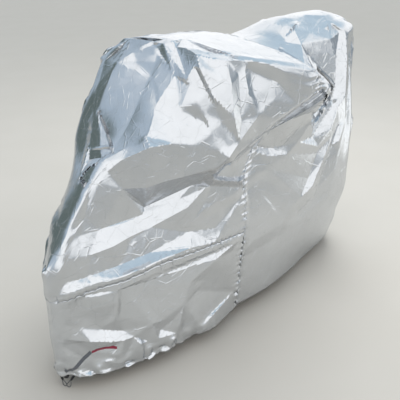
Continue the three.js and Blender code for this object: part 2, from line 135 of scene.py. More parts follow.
def new_material(name):
    """An empty material, its node tree and its output."""
    material = bpy.data.materials.new(name)
    material.use_nodes = True
    material.node_tree.nodes.clear()
    return material, material.node_tree, material.node_tree.nodes.new("ShaderNodeOutputMaterial")


def hanging(tilt):
    """The direction of what hangs at the hem, tilted to the right as the camera sees it."""
    turn = math.radians(tilt)
    return Vector((0, 0, -math.cos(turn))) + view_right * math.sin(turn)


def smooth_path(points, steps):
    """A curve through the points with the given steps to each stretch."""
    padded = [2 * points[0] - points[1], *points, 2 * points[-1] - points[-2]]
    path = []
    for before, start, stop, after in zip(padded, padded[1:], padded[2:], padded[3:]):
        bend = 2 * before - 5 * start + 4 * stop - after
        twist = 3 * start - before - 3 * stop + after
        for k in range(steps):
            share = k / steps
            straight = 2 * start + (stop - before) * share
            path.append(0.5 * (straight + bend * share * share + twist * share ** 3))
    return path + [points[-1]]


# Plastic-coated steel wire: a hard, even dark grey skin with a soft line of shine and a little scuffing.
wire_material, tree, output = new_material("Coated steel wire")
coords = add_node(tree, "ShaderNodeTexCoord")
scuff = add_node(tree, "ShaderNodeTexNoise", inputs={
    "Vector": coords.outputs["Object"], "Scale": 1000 / WIRE_SCUFF_MM})
rough = add_node(tree, "ShaderNodeMapRange", inputs={
    "Value": scuff.outputs["Fac"], "To Min": 0.22, "To Max": 0.42})
coat = add_node(tree, "ShaderNodeBsdfPrincipled", inputs={
    "Base Color": linear(WIRE_COAT), "Metallic": 0.55, "Roughness": rough.outputs["Result"]})
tree.links.new(coat.outputs["BSDF"], output.inputs["Surface"])

for loop in LOOPS:
    sleeve_axis = hanging(loop["sleeve_tilt"])
    loop_axis = hanging(loop["loop_tilt"])
    bottom = Vector(loop["top"]) + sleeve_axis * (SLEEVE_LENGTH + WIRE_GAP)
    beside = (view_right - sleeve_axis * view_right.dot(sleeve_axis)).normalized()
    legs = {-1: [], 1: []}
    for hand, leg in legs.items():
        for step, (down, wide) in enumerate(zip(TEARDROP_DOWN[:-1], TEARDROP_WIDE[:-1])):
            axis = sleeve_axis if step < STRAIGHT_STEPS else loop_axis
            out = WIRE_LEGS_APART / 2 * (1 - wide) + loop["width"] / 2 * wide
            leg.append(bottom + axis * down * loop["length"] + beside * hand * out)
    route = smooth_path([*legs[-1], bottom + loop_axis * loop["length"], *reversed(legs[1])], WIRE_STEPS)
    wire_curve = bpy.data.curves.new("wire_loop_" + loop["name"], "CURVE")
    wire_curve.dimensions = "3D"
    wire_curve.bevel_depth = WIRE_DIAMETER / 2
    wire_curve.bevel_resolution = WIRE_ROUNDING
    wire_curve.use_fill_caps = True
    spline = wire_curve.splines.new("POLY")
    spline.points.add(len(route) - 1)
    for point, place in zip(spline.points, route):
        point.co = (*place, 1)
    wire_curve.materials.append(wire_material)
    wire = bpy.data.objects.new("coated_wire_" + loop["name"], wire_curve)
    bpy.context.scene.collection.objects.link(wire)
    loop["wire"] = wire
    loop["exit"] = route[0]
    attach(wire, "root")
    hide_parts("wire_loop_" + loop["name"])


# Loop sleeves
# A short black plastic sleeve grips both legs of each loop where they meet the hem.
# It is moulded, with rounded ends and two shallow grip rings.
SLEEVE_END_RADIUS = 3.9 * MM
SLEEVE_SIDES = 28
BLACK_PLASTIC = "#191A1C"
GRAIN_MM = 1.2
GRAIN_DEPTH = 0.2 * MM
# Each ring of a sleeve: its radius as a share of the end's, and its place as a share of the length.
SLEEVE_RINGS = [
    (0.72, 0), (0.94, 0.015), (1, 0.045), (1.12, 0.16), (1.27, 0.25), (1.28, 0.36),
    (1.1, 0.38), (1.1, 0.42), (1.28, 0.44), (1.28, 0.56), (1.1, 0.58), (1.1, 0.62), (1.28, 0.64),
    (1.27, 0.75), (1.12, 0.84), (1, 0.955), (0.94, 0.985), (0.72, 1),
]

# Moulded black plastic: nearly black, dull with a broad sheen and a faint grain.
plastic, tree, output = new_material("Moulded black plastic")
coords = add_node(tree, "ShaderNodeTexCoord")
grain = add_node(tree, "ShaderNodeTexNoise", inputs={
    "Vector": coords.outputs["Object"], "Scale": 1000 / GRAIN_MM, "Detail": 3.0})
rough = add_node(tree, "ShaderNodeMapRange", inputs={
    "Value": grain.outputs["Fac"], "To Min": 0.42, "To Max": 0.62})
bump = add_node(tree, "ShaderNodeBump", inputs={
    "Strength": 0.25, "Distance": GRAIN_DEPTH, "Height": grain.outputs["Fac"]})
skin = add_node(tree, "ShaderNodeBsdfPrincipled", inputs={
    "Base Color": linear(BLACK_PLASTIC), "Roughness": rough.outputs["Result"],
    "Normal": bump.outputs["Normal"]})
tree.links.new(skin.outputs["BSDF"], output.inputs["Surface"])


def mesh_piece(name, vertices, faces, material, node):
    """A finished mesh that rides on the cover and stands for its node."""
    mesh = bpy.data.meshes.new(name)
    mesh.from_pydata([tuple(v) for v in vertices], [], [tuple(f) for f in faces])
    mesh.polygons.foreach_set("use_smooth", [True] * len(mesh.polygons))
    mesh.materials.append(material)
    mesh.update()
    piece = bpy.data.objects.new(name, mesh)
    bpy.context.scene.collection.objects.link(piece)
    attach(piece, "root")
    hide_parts(node)
    return piece


for loop in LOOPS:
    axis = hanging(loop["sleeve_tilt"])
    side = axis.orthogonal().normalized()
    depth_side = axis.cross(side)
    vertices = []
    faces = []
    for share_out, share_down in SLEEVE_RINGS:
        for k in range(SLEEVE_SIDES):
            turn = 2 * math.pi * k / SLEEVE_SIDES
            spoke = side * math.cos(turn) + depth_side * math.sin(turn)
            middle = Vector(loop["top"]) + axis * SLEEVE_LENGTH * share_down
            vertices.append(middle + spoke * SLEEVE_END_RADIUS * share_out)
    for ring in range(len(SLEEVE_RINGS) - 1):
        for k in range(SLEEVE_SIDES):
            a = ring * SLEEVE_SIDES + k
            b = ring * SLEEVE_SIDES + (k + 1) % SLEEVE_SIDES
            faces.append((b, a, a + SLEEVE_SIDES, b + SLEEVE_SIDES))
    faces.append(range(SLEEVE_SIDES))
    faces.append(range(len(vertices) - 1, len(vertices) - SLEEVE_SIDES - 1, -1))
    sleeve = mesh_piece(
        "grip_sleeve_" + loop["name"], vertices, faces, plastic, "loop_sleeve_" + loop["name"])


# Front panel
# The top panel of the cover, from the front tip to the transverse seam and down to the skirt line.
# It is thin polyester film cloth with an aluminium coat, cut and sewn from one sheet for both sides.
# It hangs over what is inside it in flat facets and sharp creases.
FILM_THICK = 1.2 * MM
CREASE_ANGLE = math.radians(17)
TINY = 1e-9
# The form is worked out in millimetres, along the cover from its front tip and up from its hem.
ORIGIN_ALONG = 991.4
ORIGIN_UP = 1188
LEAN = 0.09
SKIRT_UP_FRONT = 345
SKIRT_UP_SEAM = 390
SKIRT_ARCH = 25
SKEW_UPS = (600, 1050)
LEAN_UPS = (200, 1000)
RAKE_UP = 1000
# Spine columns: along, rake, sway, crown up. Side columns: skew, then out and up of brow, shoulder and waist,
# then out of skirt line and hem. A skew is how far along the cover a place moves for each millimetre out.
# A row without a far side has the near side's values there too.
SECTIONS = [
    {"at": "tip", "spine": (0, 0, 120, 470), "near": (0, 8, 460, 12, 430, 14, 390, 16, 14)},
    {"at": "tyre", "spine": (50, 0, 118, 545), "near": (0, 25, 540, 45, 510, 54, 450, 60, 75),
     "far": (0, 35, 535, 70, 500, 85, 430, 85, 75)},
    {"at": "wheel", "spine": (140, 0, 110, 660), "near": (0, 22, 655, 30, 620, 36, 572, 90, 142),
     "far": (0, 60, 650, 120, 595, 140, 480, 150, 142)},
    {"at": "fender", "spine": (280, 0, 95, 810), "near": (0, 28, 806, 50, 715, 72, 584, 155, 207),
     "far": (0.1, 110, 765, 200, 700, 230, 520, 240, 225)},
    {"at": "nose", "spine": (430, 0, 75, 905), "near": (0, 153, 902, 165, 746, 105, 626, 187, 246),
     "far": (0.4, 150, 865, 285, 810, 320, 560, 310, 280)},
    {"at": "screen", "spine": (560, 0, 60, 1060), "near": (0.1, 135, 1015, 212, 765, 162, 663, 222, 268),
     "far": (0.28, 160, 1060, 315, 945, 355, 600, 335, 295)},
    {"at": "cowl", "spine": (690, 0, 45, 1230), "near": (0.1, 225, 1205, 300, 822, 228, 680, 250, 285),
     "far": (0.38, 190, 1190, 340, 1030, 375, 660, 350, 305)},
    {"at": "seam", "spine": (860, 95, 10, 1220), "near": (0.74, 335, 1115, 385, 1035, 240, 750, 288, 285),
     "far": (0.74, 270, 1150, 395, 1060, 370, 700, 345, 305)},
    {"at": "bars", "spine": (920, 60, 0, 1190), "near": (0.74, 330, 1112, 415, 1030, 250, 760, 293, 293),
     "far": (0.7, 275, 1138, 415, 1050, 365, 700, 340, 305)},
    {"at": "tank", "spine": (1060, 40, 0, 1140), "near": (0.62, 262, 1098, 385, 992, 262, 740, 294, 294),
     "far": (0.52, 255, 1085, 385, 970, 335, 700, 325, 305)},
    {"at": "seat", "spine": (1270, 20, 0, 1160), "near": (0.3, 190, 1122, 296, 965, 282, 640, 294, 268)},
    {"at": "hump", "spine": (1450, 10, 0, 1232), "near": (0, 132, 1190, 206, 1010, 276, 640, 290, 228)},
    {"at": "box", "spine": (1680, 22, 0, 1238), "near": (0, 126, 1208, 188, 1060, 264, 640, 268, 175)},
    {"at": "tail", "spine": (1820, 34, 0, 1208), "near": (0, 106, 1185, 150, 1060, 182, 640, 184, 120)},
    {"at": "end", "spine": (1900, 56, 0, 1095), "near": (0, 8, 1085, 15, 960, 18, 600, 18, 14)},
]
SEAM_STATION = 7
CROWN_LEVEL = 5
LAST_LEVEL = 10
# The main folds: station and level of the start, middle and end of each, its width and rise in millimetres.
FOLDS = {
    "upper diagonal crest": (1.2, 2.6, 2.4, 1.75, 6, 1.75, 60, 22),
    "lower crest on the skirt line": (0.3, 1.12, 3.2, 1.1, 6.8, 1.05, 55, 20),
    "valley above it": (1, 1.5, 2.9, 1.38, 5.4, 1.36, 50, -10),
    "lamp brow": (3.6, 4.2, 4.8, 3.5, 6.2, 3.2, 60, 18),
    "arm ridge": (5.9, 4, 6.5, 3.9, 7.6, 3.6, 55, 14),
    "skirt pocket": (1.1, 0.73, 2, 0.58, 2.9, 0.43, 45, -12),
    "skirt upright": (4.5, 0.85, 4.65, 0.45, 4.75, 0.05, 45, 10),
    "front face crest": (5.5, 4.6, 5.9, 3.8, 6.4, 2.9, 55, 16),
    "front face valley": (6.2, 4.3, 6.4, 3.6, 6.6, 2.9, 45, -14),
    "near grip streak": (8.3, 2.9, 9, 2.2, 9.5, 1.4, 65, 14),
    "near rear drag": (9.6, 0.85, 10.5, 1.2, 11.4, 1.6, 60, 12),
    "near tail crest": (12.2, 3.9, 12.3, 2.6, 12, 1, 65, 12),
    "near tail valley": (12.9, 3.8, 13, 2.6, 12.9, 1, 55, -12),
    "hump crease": (10.3, 4.6, 11, 4.2, 11.8, 3.6, 60, 12),
    "far upper crest": (1.2, 6.6, 2.8, 7.6, 5.6, 8.1, 70, 26),
    "far skirt line crest": (0.5, 8.85, 3, 8.8, 6.6, 8.95, 60, 20),
    "far valley between": (1.6, 7.7, 3.4, 8.2, 5.4, 8.5, 60, -14),
    "far rear drag": (9.4, 9.1, 10.5, 8.7, 11.6, 8.2, 60, 14),
    "far tail crest": (12.1, 6.2, 12.4, 7.6, 12.1, 9, 65, 14),
    "far grip streak": (8.2, 7.1, 8.9, 7.8, 9.4, 8.6, 65, 14),
}
FOLD_SAMPLES = 96
HEM_FADE = 0.12
# What pushes the film out or lets it sink in: station and level, then reach and push in millimetres.
KNOBS = {
    "indicator": (6.1, 3, 70, 14),
    "hollow by the seam": (6.7, 2.4, 120, -24),
}


def between(rows, places):
    """Smooth curves through the rows that never overshoot them."""
    rows = np.asarray(rows, float)
    step = np.diff(rows, axis=0)
    before = step[:-1]
    after = step[1:]
    agree = before * after > 0
    total = np.where(agree, before + after, 1)
    middle = np.where(agree, 2 * before * after / total, 0)
    tangent = np.concatenate([step[:1], middle, step[-1:]])
    places = np.clip(np.asarray(places, float), 0, len(rows) - 1)
    low = np.minimum(places.astype(int), len(rows) - 2)
    past = (places - low).reshape(places.shape + (1,) * (rows.ndim - 1))
    held = rows[low] * (2 * past ** 3 - 3 * past ** 2 + 1) + rows[low + 1] * (3 * past ** 2 - 2 * past ** 3)
    leaving = tangent[low] * (past ** 3 - 2 * past ** 2 + past)
    arriving = tangent[low + 1] * (past ** 3 - past ** 2)
    return held + leaving + arriving


def ease(value, start, full):
    """A share that grows smoothly from 0 at the start to 1 where it is full."""
    share = np.clip((value - start) / (full - start), 0, 1)
    return share * share * (3 - 2 * share)


def bell(share):
    """A smooth fall from 1 at no share to 0 at a full one."""
    return 0.5 + 0.5 * np.cos(np.pi * np.clip(share, 0, 1))


def form_points(stations, levels):
    """Millimetre places of the smooth form on a grid of stations and levels."""
    spine = between([row["spine"] for row in SECTIONS], stations)
    near = between([row["near"] for row in SECTIONS], stations)
    far = between([row.get("far", row["near"]) for row in SECTIONS], stations)
    along, rake, sway, crown_up = spine.T
    none = np.zeros_like(along)
    seam_along = SECTIONS[SEAM_STATION]["spine"][0]
    to_seam = np.clip(along / seam_along, 0, 1)
    skirt_up = SKIRT_UP_FRONT + (SKIRT_UP_SEAM - SKIRT_UP_FRONT) * to_seam
    skirt_up = skirt_up + SKIRT_ARCH * np.sin(np.pi * to_seam)

    def half(side):
        _, brow_out, brow_up, shoulder_out, shoulder_up, waist_out, waist_up, skirt_out, hem_out = side.T
        return [(hem_out, none), (skirt_out, skirt_up), (waist_out, waist_up),
                (shoulder_out, shoulder_up), (brow_out, brow_up)]

    far_half = [(-out, up) for out, up in half(far)]
    outline = np.array([*half(near), (none, crown_up), *reversed(far_half)])
    drawn = between(outline, levels)
    out = drawn[:, 0].T
    up = drawn[:, 1].T
    skew = np.where(out > 0, near[:, :1], far[:, :1])
    turned = skew * out * ease(up, *SKEW_UPS)
    x = along[:, None] + rake[:, None] * up / RAKE_UP + turned - ORIGIN_ALONG
    z = up - LEAN * out * ease(up, *LEAN_UPS) - ORIGIN_UP
    return np.stack([x, -(out + sway[:, None]), z], -1)


def grid_normals(points):
    """Outward normals of a grid of points."""
    along = np.gradient(points, axis=0)
    upward = np.gradient(points, axis=1)
    normal = np.cross(along, upward)
    return normal / np.maximum(np.linalg.norm(normal, axis=-1, keepdims=True), TINY)


def folded_form(stations, levels):
    """The form with its main folds and knobs, and its normals."""
    points = form_points(stations, levels)
    normals = grid_normals(points)
    lift = np.zeros(points.shape[:2])
    for *ends, width, rise in FOLDS.values():
        share = np.linspace(0, 2, FOLD_SAMPLES + 1)
        line = [form_points(np.array([station]), np.array([level]))[0, 0]
                for station, level in between(np.reshape(ends, (3, 2)), share)]
        strength = np.sqrt(bell(np.abs(share - 1)))
        nearest = np.full(lift.shape, np.inf)
        held = np.zeros(lift.shape)
        for place, part in zip(line, strength):
            apart = np.linalg.norm(points - place, axis=-1)
            held = np.where(apart < nearest, part, held)
            nearest = np.minimum(apart, nearest)
        lift += rise * held * bell(nearest / width)
    for station, level, reach, push in KNOBS.values():
        centre = form_points(np.array([station]), np.array([level]))[0, 0]
        lift += push * bell(np.linalg.norm(points - centre, axis=-1) / reach)
    lift *= ease(np.minimum(levels, LAST_LEVEL - levels), 0, HEM_FADE)[None, :]
    moved = points + normals * lift[..., None]
    return moved, grid_normals(moved)


# Corners round the whole picture, between which the film keeps its form.
FRAME_CORNERS = [(-40, -40), (440, -40), (440, 440), (-40, 440)]
# How near a corner finds its own point of the film: in pixels, and in millimetres behind the front one.
PICK_PX = 3.0
PICK_DEPTH = 45
MERGE_REACH = 1e-4
EDGE_SLACK = 1e-6
# Millimetres off the form over which a facet gives way to it.
FLAT_MOVES = (35, 60)
BORDER_PASSES = 5


def softened(values):
    """Values of a grid blended with those next to them."""
    for axis in (0, 1):
        ends = [(1, 1) if k == axis else (0, 0) for k in range(values.ndim)]
        padded = np.pad(values, ends, mode="edge").swapaxes(0, axis)
        values = ((padded[:-2] + 2 * padded[1:-1] + padded[2:]) / 4).swapaxes(0, axis)
    return values


def facets(places, lifts, creases, flat_places, depths, points, normals, pick_reach):
    """How far the film moves to lie in flat facets whose corners are the places, split along the creases.

    flat_places are the grid's places in the plane of the corners, and depths tell which of them is in front.
    A corner is the film's own point there, lifted. Where there are creases, a grid point next to a facet's
    edge is drawn onto it."""
    shape = points.shape
    queries = flat_places.reshape(-1, 2)
    at = points.reshape(-1, 3)
    out = normals.reshape(-1, 3)
    deep = depths.reshape(-1)
    found = delaunay_2d_cdt([Vector(place) for place in places], creases, [], 0, MERGE_REACH)
    corners = np.array([tuple(corner) for corner in found[0]])
    given = np.asarray(places, float)
    heights = np.zeros(len(corners))
    solid = np.zeros((len(corners), 3))
    real = np.zeros(len(corners), bool)
    for k, (corner, origin) in enumerate(zip(corners, found[3])):
        if origin:
            heights[k] = lifts[origin[0]]
        else:
            apart = np.linalg.norm(given - corner, axis=1)
            close = np.argsort(apart)[:2]
            nearness = 1 / np.maximum(apart[close], EDGE_SLACK)
            heights[k] = np.average(np.asarray(lifts, float)[close], weights=nearness)
        apart = np.hypot(queries[:, 0] - corner[0], queries[:, 1] - corner[1])
        close = np.flatnonzero(apart < pick_reach)
        if len(close) == 0:
            continue
        front = close[deep[close] < deep[close].min() + PICK_DEPTH]
        chosen = front[apart[front].argmin()]
        solid[k] = at[chosen] + out[chosen] * heights[k]
        real[k] = True
    order = np.argsort(queries[:, 0])
    sorted_x = queries[order, 0]
    flat = at.copy()
    lift = np.zeros(len(at))
    held = np.zeros(len(at))
    for face in found[2]:
        face = list(face)
        a, b, c = corners[face]
        low, high = np.searchsorted(sorted_x, [min(a[0], b[0], c[0]), max(a[0], b[0], c[0])])
        chosen = order[low:high]
        area = (b[0] - a[0]) * (c[1] - a[1]) - (c[0] - a[0]) * (b[1] - a[1])
        if len(chosen) == 0 or abs(area) < TINY:
            continue
        x = queries[chosen, 0] - a[0]
        y = queries[chosen, 1] - a[1]
        share_b = (x * (c[1] - a[1]) - (c[0] - a[0]) * y) / area
        share_c = ((b[0] - a[0]) * y - x * (b[1] - a[1])) / area
        inside = (np.minimum(share_b, share_c) >= -EDGE_SLACK) & (share_b + share_c <= 1 + EDGE_SLACK)
        shares = np.stack([1 - share_b - share_c, share_b, share_c], -1)[inside]
        lift[chosen[inside]] = shares @ heights[face]
        if real[face].all():
            flat[chosen[inside]] = shares @ solid[face]
            held[chosen[inside]] = 1
    spacing = np.minimum(np.linalg.norm(np.gradient(flat_places, axis=0), axis=-1),
                         np.linalg.norm(np.gradient(flat_places, axis=1), axis=-1)).reshape(-1) / 2
    for start, stop in found[1] if creases else []:
        if not (real[start] and real[stop]):
            continue
        run = corners[stop] - corners[start]
        share = np.clip(((queries - corners[start]) @ run) / max(run @ run, TINY), 0, 1)
        apart = np.linalg.norm(queries - corners[start] - share[:, None] * run, axis=1)
        drawn = (apart < spacing) & (held > 0)
        flat[drawn] = solid[start] + share[drawn, None] * (solid[stop] - solid[start])
    border = held.reshape(shape[:2])
    for _ in range(BORDER_PASSES):
        border = softened(border)
    held = np.clip(2 * border - 1, 0, 1).reshape(-1)
    move = flat - at
    far_off = np.linalg.norm(move - out * lift[:, None], axis=1)
    weight = held * (1 - ease(far_off, *FLAT_MOVES))
    moved = move * weight[:, None] + out * (lift * (1 - weight))[:, None]
    return moved.reshape(shape)


def crease_moves(lines, pixels, depths, points, normals):
    """Moves on the facets that lie between crease lines given by pixels and a lift in millimetres."""
    places = list(FRAME_CORNERS)
    lifts = [0] * len(FRAME_CORNERS)
    creases = []
    for line in lines.values():
        for k, (x, y, lift) in enumerate(line):
            if k:
                creases.append((len(places) - 1, len(places)))
            places.append((x, y))
            lifts.append(lift)
    return facets(places, lifts, creases, pixels, depths, points, normals, PICK_PX)


# Corners of the crumple, as shares of the distance between two: how close their rows are, how far one strays
# and how near it finds its own point of the film, which is one part in CRUMPLE_PICK.
CRUMPLE_ROWS = 0.87
CRUMPLE_JITTER = 0.42
CRUMPLE_PICK = 3


def crumple(spans, apart, height, seed, points, normals):
    """Moves of a seeded field of flat crumple facets over spans along and round the cover."""
    draw = np.random.default_rng(seed)
    flat = spans.reshape(-1, 2)
    low = flat.min(0) - apart
    high = flat.max(0) + apart
    columns = np.arange(low[0], high[0], apart)
    rows = np.arange(low[1], high[1], apart * CRUMPLE_ROWS)
    places = np.array([(x + (k % 2) * apart / 2, y) for k, y in enumerate(rows) for x in columns])
    places += draw.uniform(-CRUMPLE_JITTER, CRUMPLE_JITTER, places.shape) * apart
    lifts = draw.uniform(-height, height, len(places))
    level = np.zeros(points.shape[:2])
    return facets(places, lifts, [], spans, level, points, normals, apart / CRUMPLE_PICK)


def steps_between(start, counts):
    """Evenly divided places from a start on, with the given count of steps to each unit."""
    parts = [np.array([float(start)])]
    for k, count in enumerate(counts):
        parts.append(start + k + np.arange(1, count + 1) / count)
    return np.concatenate(parts)


# Cosines to the camera over which the film starts to count as seen, and how much fine crumple goes there.
# A calm place ends over CALM_EDGE of its reach and takes CALM_SHARE of what is left.
SEEN_FACING = (0.02, 0.18)
SEEN_CALM = 0.92
CALM_EDGE = (0.7, 1.1)
CALM_SHARE = 0.88
# Crumple facets, seam puckers and the groove at the stitches, in millimetres.
COARSE_APART = 130
COARSE_HEIGHT = 9
FINE_APART = 46
FINE_HEIGHT = 2.6
SEAM_HOLD = 22
CROWN_BLEND = 60
PUCKER_EVERY = 14
LONGEST_SEAM = 6000
PUCKER_HEIGHT = 6
PUCKER_REACH = 24
SEAM_DEPTH = 1.6
SEAM_GROOVE = 6
# How far a pucker strays, as a share of PUCKER_EVERY, and the seeds of the two seams.
PUCKER_JITTER = 0.4
SEAM_SEED = 71
SKIRT_SEAM_SEED = 72


def line_span(points):
    """Millimetres along one edge of a grid."""
    return np.concatenate([[0], np.cumsum(np.linalg.norm(np.diff(points, axis=0), axis=1))])


def row_distance(points, last):
    """Millimetres to the first or last station of a grid, measured along its rows."""
    steps = np.linalg.norm(np.diff(points, axis=0), axis=-1)
    if last:
        return np.concatenate([np.cumsum(steps[::-1], axis=0)[::-1], np.zeros((1, points.shape[1]))])
    return np.concatenate([np.zeros((1, points.shape[1])), np.cumsum(steps, axis=0)])


def column_distance(points, last):
    """Millimetres to the first or last level of a grid, measured along its columns."""
    return row_distance(points.swapaxes(0, 1), last).T


def girth_spans(points):
    """Millimetres along the top and round the cover from it, for each place of a grid."""
    round_it = column_distance(points, True)
    along = np.broadcast_to(line_span(points[:, -1])[:, None], round_it.shape)
    return np.stack([along, round_it], -1)


def pucker(place_along, distance, seed):
    """Small gathers that a line of stitching pulls into the film, with a groove at the stitches."""
    draw = np.random.default_rng(seed)
    knots = np.arange(0, LONGEST_SEAM, PUCKER_EVERY)
    knots = knots + draw.uniform(-PUCKER_JITTER, PUCKER_JITTER, len(knots)) * PUCKER_EVERY
    heights = np.where(np.arange(len(knots)) % 2, 1, -1) * draw.uniform(0, 1, len(knots))
    gathers = PUCKER_HEIGHT * np.interp(place_along, knots, heights) * np.exp(-distance / PUCKER_REACH)
    return gathers - SEAM_DEPTH * np.exp(-(distance / SEAM_GROOVE) ** 2)


def film_side(stations, levels, lines, calm, seed, seam_rows, seam_columns):
    """One side of a panel: the folded form with its creases, crumple facets and seam puckers.

    Where the photograph shows the film its creases are given one by one, and elsewhere they are crumple
    facets.
    seam_rows and seam_columns say whether the first or the last row or column is a seam."""
    points, normals = folded_form(stations, levels)
    metres = points * MM
    to_camera = np.array(CAMERA_PLACE) - metres
    to_camera /= np.linalg.norm(to_camera, axis=-1, keepdims=True)
    seen = ease((normals * to_camera).sum(-1), *SEEN_FACING)
    pixels = photo_pixels(metres)
    depths = ((metres - np.array(CAMERA_PLACE)) @ np.array(view_forward)) / MM
    spans = girth_spans(points)
    moves = crumple(spans, COARSE_APART, COARSE_HEIGHT, seed, points, normals) * (1 - seen)[..., None]
    moves += crease_moves(lines, pixels, depths, points, normals) * seen[..., None]
    fine = crumple(spans, FINE_APART, FINE_HEIGHT, seed + 1, points, normals)
    fine = (fine * normals).sum(-1)
    quiet = np.zeros(seen.shape)
    for x, y, reach_x, reach_y in calm:
        apart = np.hypot((pixels[..., 0] - x) / reach_x, (pixels[..., 1] - y) / reach_y)
        quiet = np.maximum(quiet, 1 - ease(apart, *CALM_EDGE))
    lift = fine * (1 - CALM_SHARE * quiet * seen) * (1 - SEEN_CALM * seen)
    held = np.ones(lift.shape)
    gathers = np.zeros(lift.shape)
    for last in seam_rows:
        distance = row_distance(points, last)
        held *= ease(distance, 0, SEAM_HOLD)
        span = line_span(points[-1 if last else 0])
        from_crown = span if levels[0] == CROWN_LEVEL else span[-1] - span
        gathers += pucker(from_crown[None, :], distance, SEAM_SEED)
    for last in seam_columns:
        distance = column_distance(points, last)
        held *= ease(distance, 0, SEAM_HOLD)
        gathers += pucker(line_span(points[:, -1 if last else 0])[:, None], distance, SKIRT_SEAM_SEED)
    return points + moves * held[..., None] + normals * (lift * held + gathers)[..., None]


NEAR_STEPS = 2


def sheet_piece(name, near, far, joined, tip, end, node):
    """A film sheet from its near and far grids, each counted from its lower edge up.

    joined says that the two meet at the crown, and tip and end that a strip closes the first or the last
    station. The near grid has NEAR_STEPS steps up for each one of the far grid."""
    rows, near_columns = near.shape[:2]
    far_columns = far.shape[1]
    if joined:
        step = near[:, -1] - far[:, -1]
        fade = np.exp(-column_distance(far, True) / CROWN_BLEND)
        far = far + step[:, None, :] * fade[..., None]
    near_top = near_columns - 1
    far_top = far_columns - 1
    kept_far = far[:, :-1] if joined else far
    vertices = np.concatenate([near.reshape(-1, 3), kept_far.reshape(-1, 3)]) * MM
    start = rows * near_columns
    width = kept_far.shape[1]

    def near_id(i, j):
        return i * near_columns + j

    def far_id(i, j):
        if joined and j == far_top:
            return near_id(i, near_top)
        return start + i * width + j

    faces = []
    for i in range(rows - 1):
        for j in range(near_top):
            faces.append((near_id(i, j), near_id(i + 1, j), near_id(i + 1, j + 1), near_id(i, j + 1)))
        for j in range(far_top):
            faces.append((far_id(i, j), far_id(i, j + 1), far_id(i + 1, j + 1), far_id(i + 1, j)))

    def strip(i, turned):
        for m in range(far_top):
            n0, n1, n2 = (near_id(i, NEAR_STEPS * m + k) for k in range(NEAR_STEPS + 1))
            f0, f1 = (far_id(i, m + k) for k in range(2))
            for triangle in ((n0, n1, f0), (n1, f1, f0), (n1, n2, f1)):
                if len(set(triangle)) == 3:
                    faces.append(triangle[::-1] if turned else triangle)

    if tip:
        strip(0, False)
    if end:
        strip(rows - 1, True)
    piece = mesh_piece(name, vertices, faces, film, node)
    piece.data.set_sharp_from_angle(angle=CREASE_ANGLE)
    thick = piece.modifiers.new("film thickness", "SOLIDIFY")
    thick.thickness = FILM_THICK
    thick.offset = -1
    return piece


# Aluminium-coated polyester film cloth: a bright, slightly soft mirror with small flat crinkles, short thin
# creases and duller rubbed spots.
FILM_SILVER = "#D5D8DC"
FILM_RUBBED = "#CACDD0"
CRINKLE_MM = 60
CRINKLE_SLOPE = 0.03
RUB_MM = 60
# Nets of thin creases: how far apart the lines lie, and about how long the stretches that show are.
THIN_CREASES = [(120, 75), (66, 45)]
THIN_SHOWN = (0.48, 0.62)
THIN_WIDE_MM = 3.2
THIN_HIGH_MM = 0.5
film, tree, output = new_material("Aluminium-coated polyester film")
coords = add_node(tree, "ShaderNodeTexCoord")
rub = add_node(tree, "ShaderNodeTexNoise", inputs={
    "Vector": coords.outputs["Object"], "Scale": 1000 / RUB_MM, "Detail": 4.0})
tone = add_node(tree, "ShaderNodeMix", {"data_type": "RGBA"}, {
    "Factor": rub.outputs["Fac"], 6: linear(FILM_SILVER), 7: linear(FILM_RUBBED)})
rough = add_node(tree, "ShaderNodeMapRange", inputs={
    "Value": rub.outputs["Fac"], "To Min": 0.18, "To Max": 0.25})
cells = add_node(tree, "ShaderNodeTexVoronoi", inputs={
    "Vector": coords.outputs["Object"], "Scale": 1000 / CRINKLE_MM})
tilt = add_node(tree, "ShaderNodeVectorMath", {"operation": "SUBTRACT"}, {
    0: cells.outputs["Color"], 1: (0.5, 0.5, 0.5)})
inside_cell = add_node(tree, "ShaderNodeVectorMath", {"operation": "SUBTRACT"}, {
    0: coords.outputs["Object"], 1: cells.outputs["Position"]})
facet = add_node(tree, "ShaderNodeVectorMath", {"operation": "DOT_PRODUCT"}, {
    0: tilt.outputs["Vector"], 1: inside_cell.outputs["Vector"]})
crinkles = add_node(tree, "ShaderNodeBump", inputs={
    "Strength": 1.0, "Distance": CRINKLE_SLOPE, "Height": facet.outputs["Value"]})
film_normal = crinkles.outputs["Normal"]
for apart_mm, patch_mm in THIN_CREASES:
    edges = add_node(tree, "ShaderNodeTexVoronoi", {"feature": "DISTANCE_TO_EDGE"}, {
        "Vector": coords.outputs["Object"], "Scale": 1000 / apart_mm})
    line = add_node(tree, "ShaderNodeMapRange", {"interpolation_type": "SMOOTHSTEP"}, {
        "Value": edges.outputs["Distance"], "From Max": THIN_WIDE_MM / apart_mm,
        "To Min": 1.0, "To Max": 0.0})
    patch = add_node(tree, "ShaderNodeTexNoise", inputs={
        "Vector": coords.outputs["Object"], "Scale": 1000 / patch_mm})
    shown = add_node(tree, "ShaderNodeMapRange", inputs={
        "Value": patch.outputs["Fac"], "From Min": THIN_SHOWN[0], "From Max": THIN_SHOWN[1]})
    height = add_node(tree, "ShaderNodeMath", {"operation": "MULTIPLY"}, {
        0: line.outputs["Result"], 1: shown.outputs["Result"]})
    ridge = add_node(tree, "ShaderNodeBump", inputs={
        "Strength": 1.0, "Distance": THIN_HIGH_MM * MM, "Height": height.outputs["Value"],
        "Normal": film_normal})
    film_normal = ridge.outputs["Normal"]
mirror = add_node(tree, "ShaderNodeBsdfPrincipled", inputs={
    "Base Color": tone.outputs[2], "Metallic": 0.96, "Roughness": rough.outputs["Result"],
    "Normal": film_normal})
tree.links.new(mirror.outputs["BSDF"], output.inputs["Surface"])

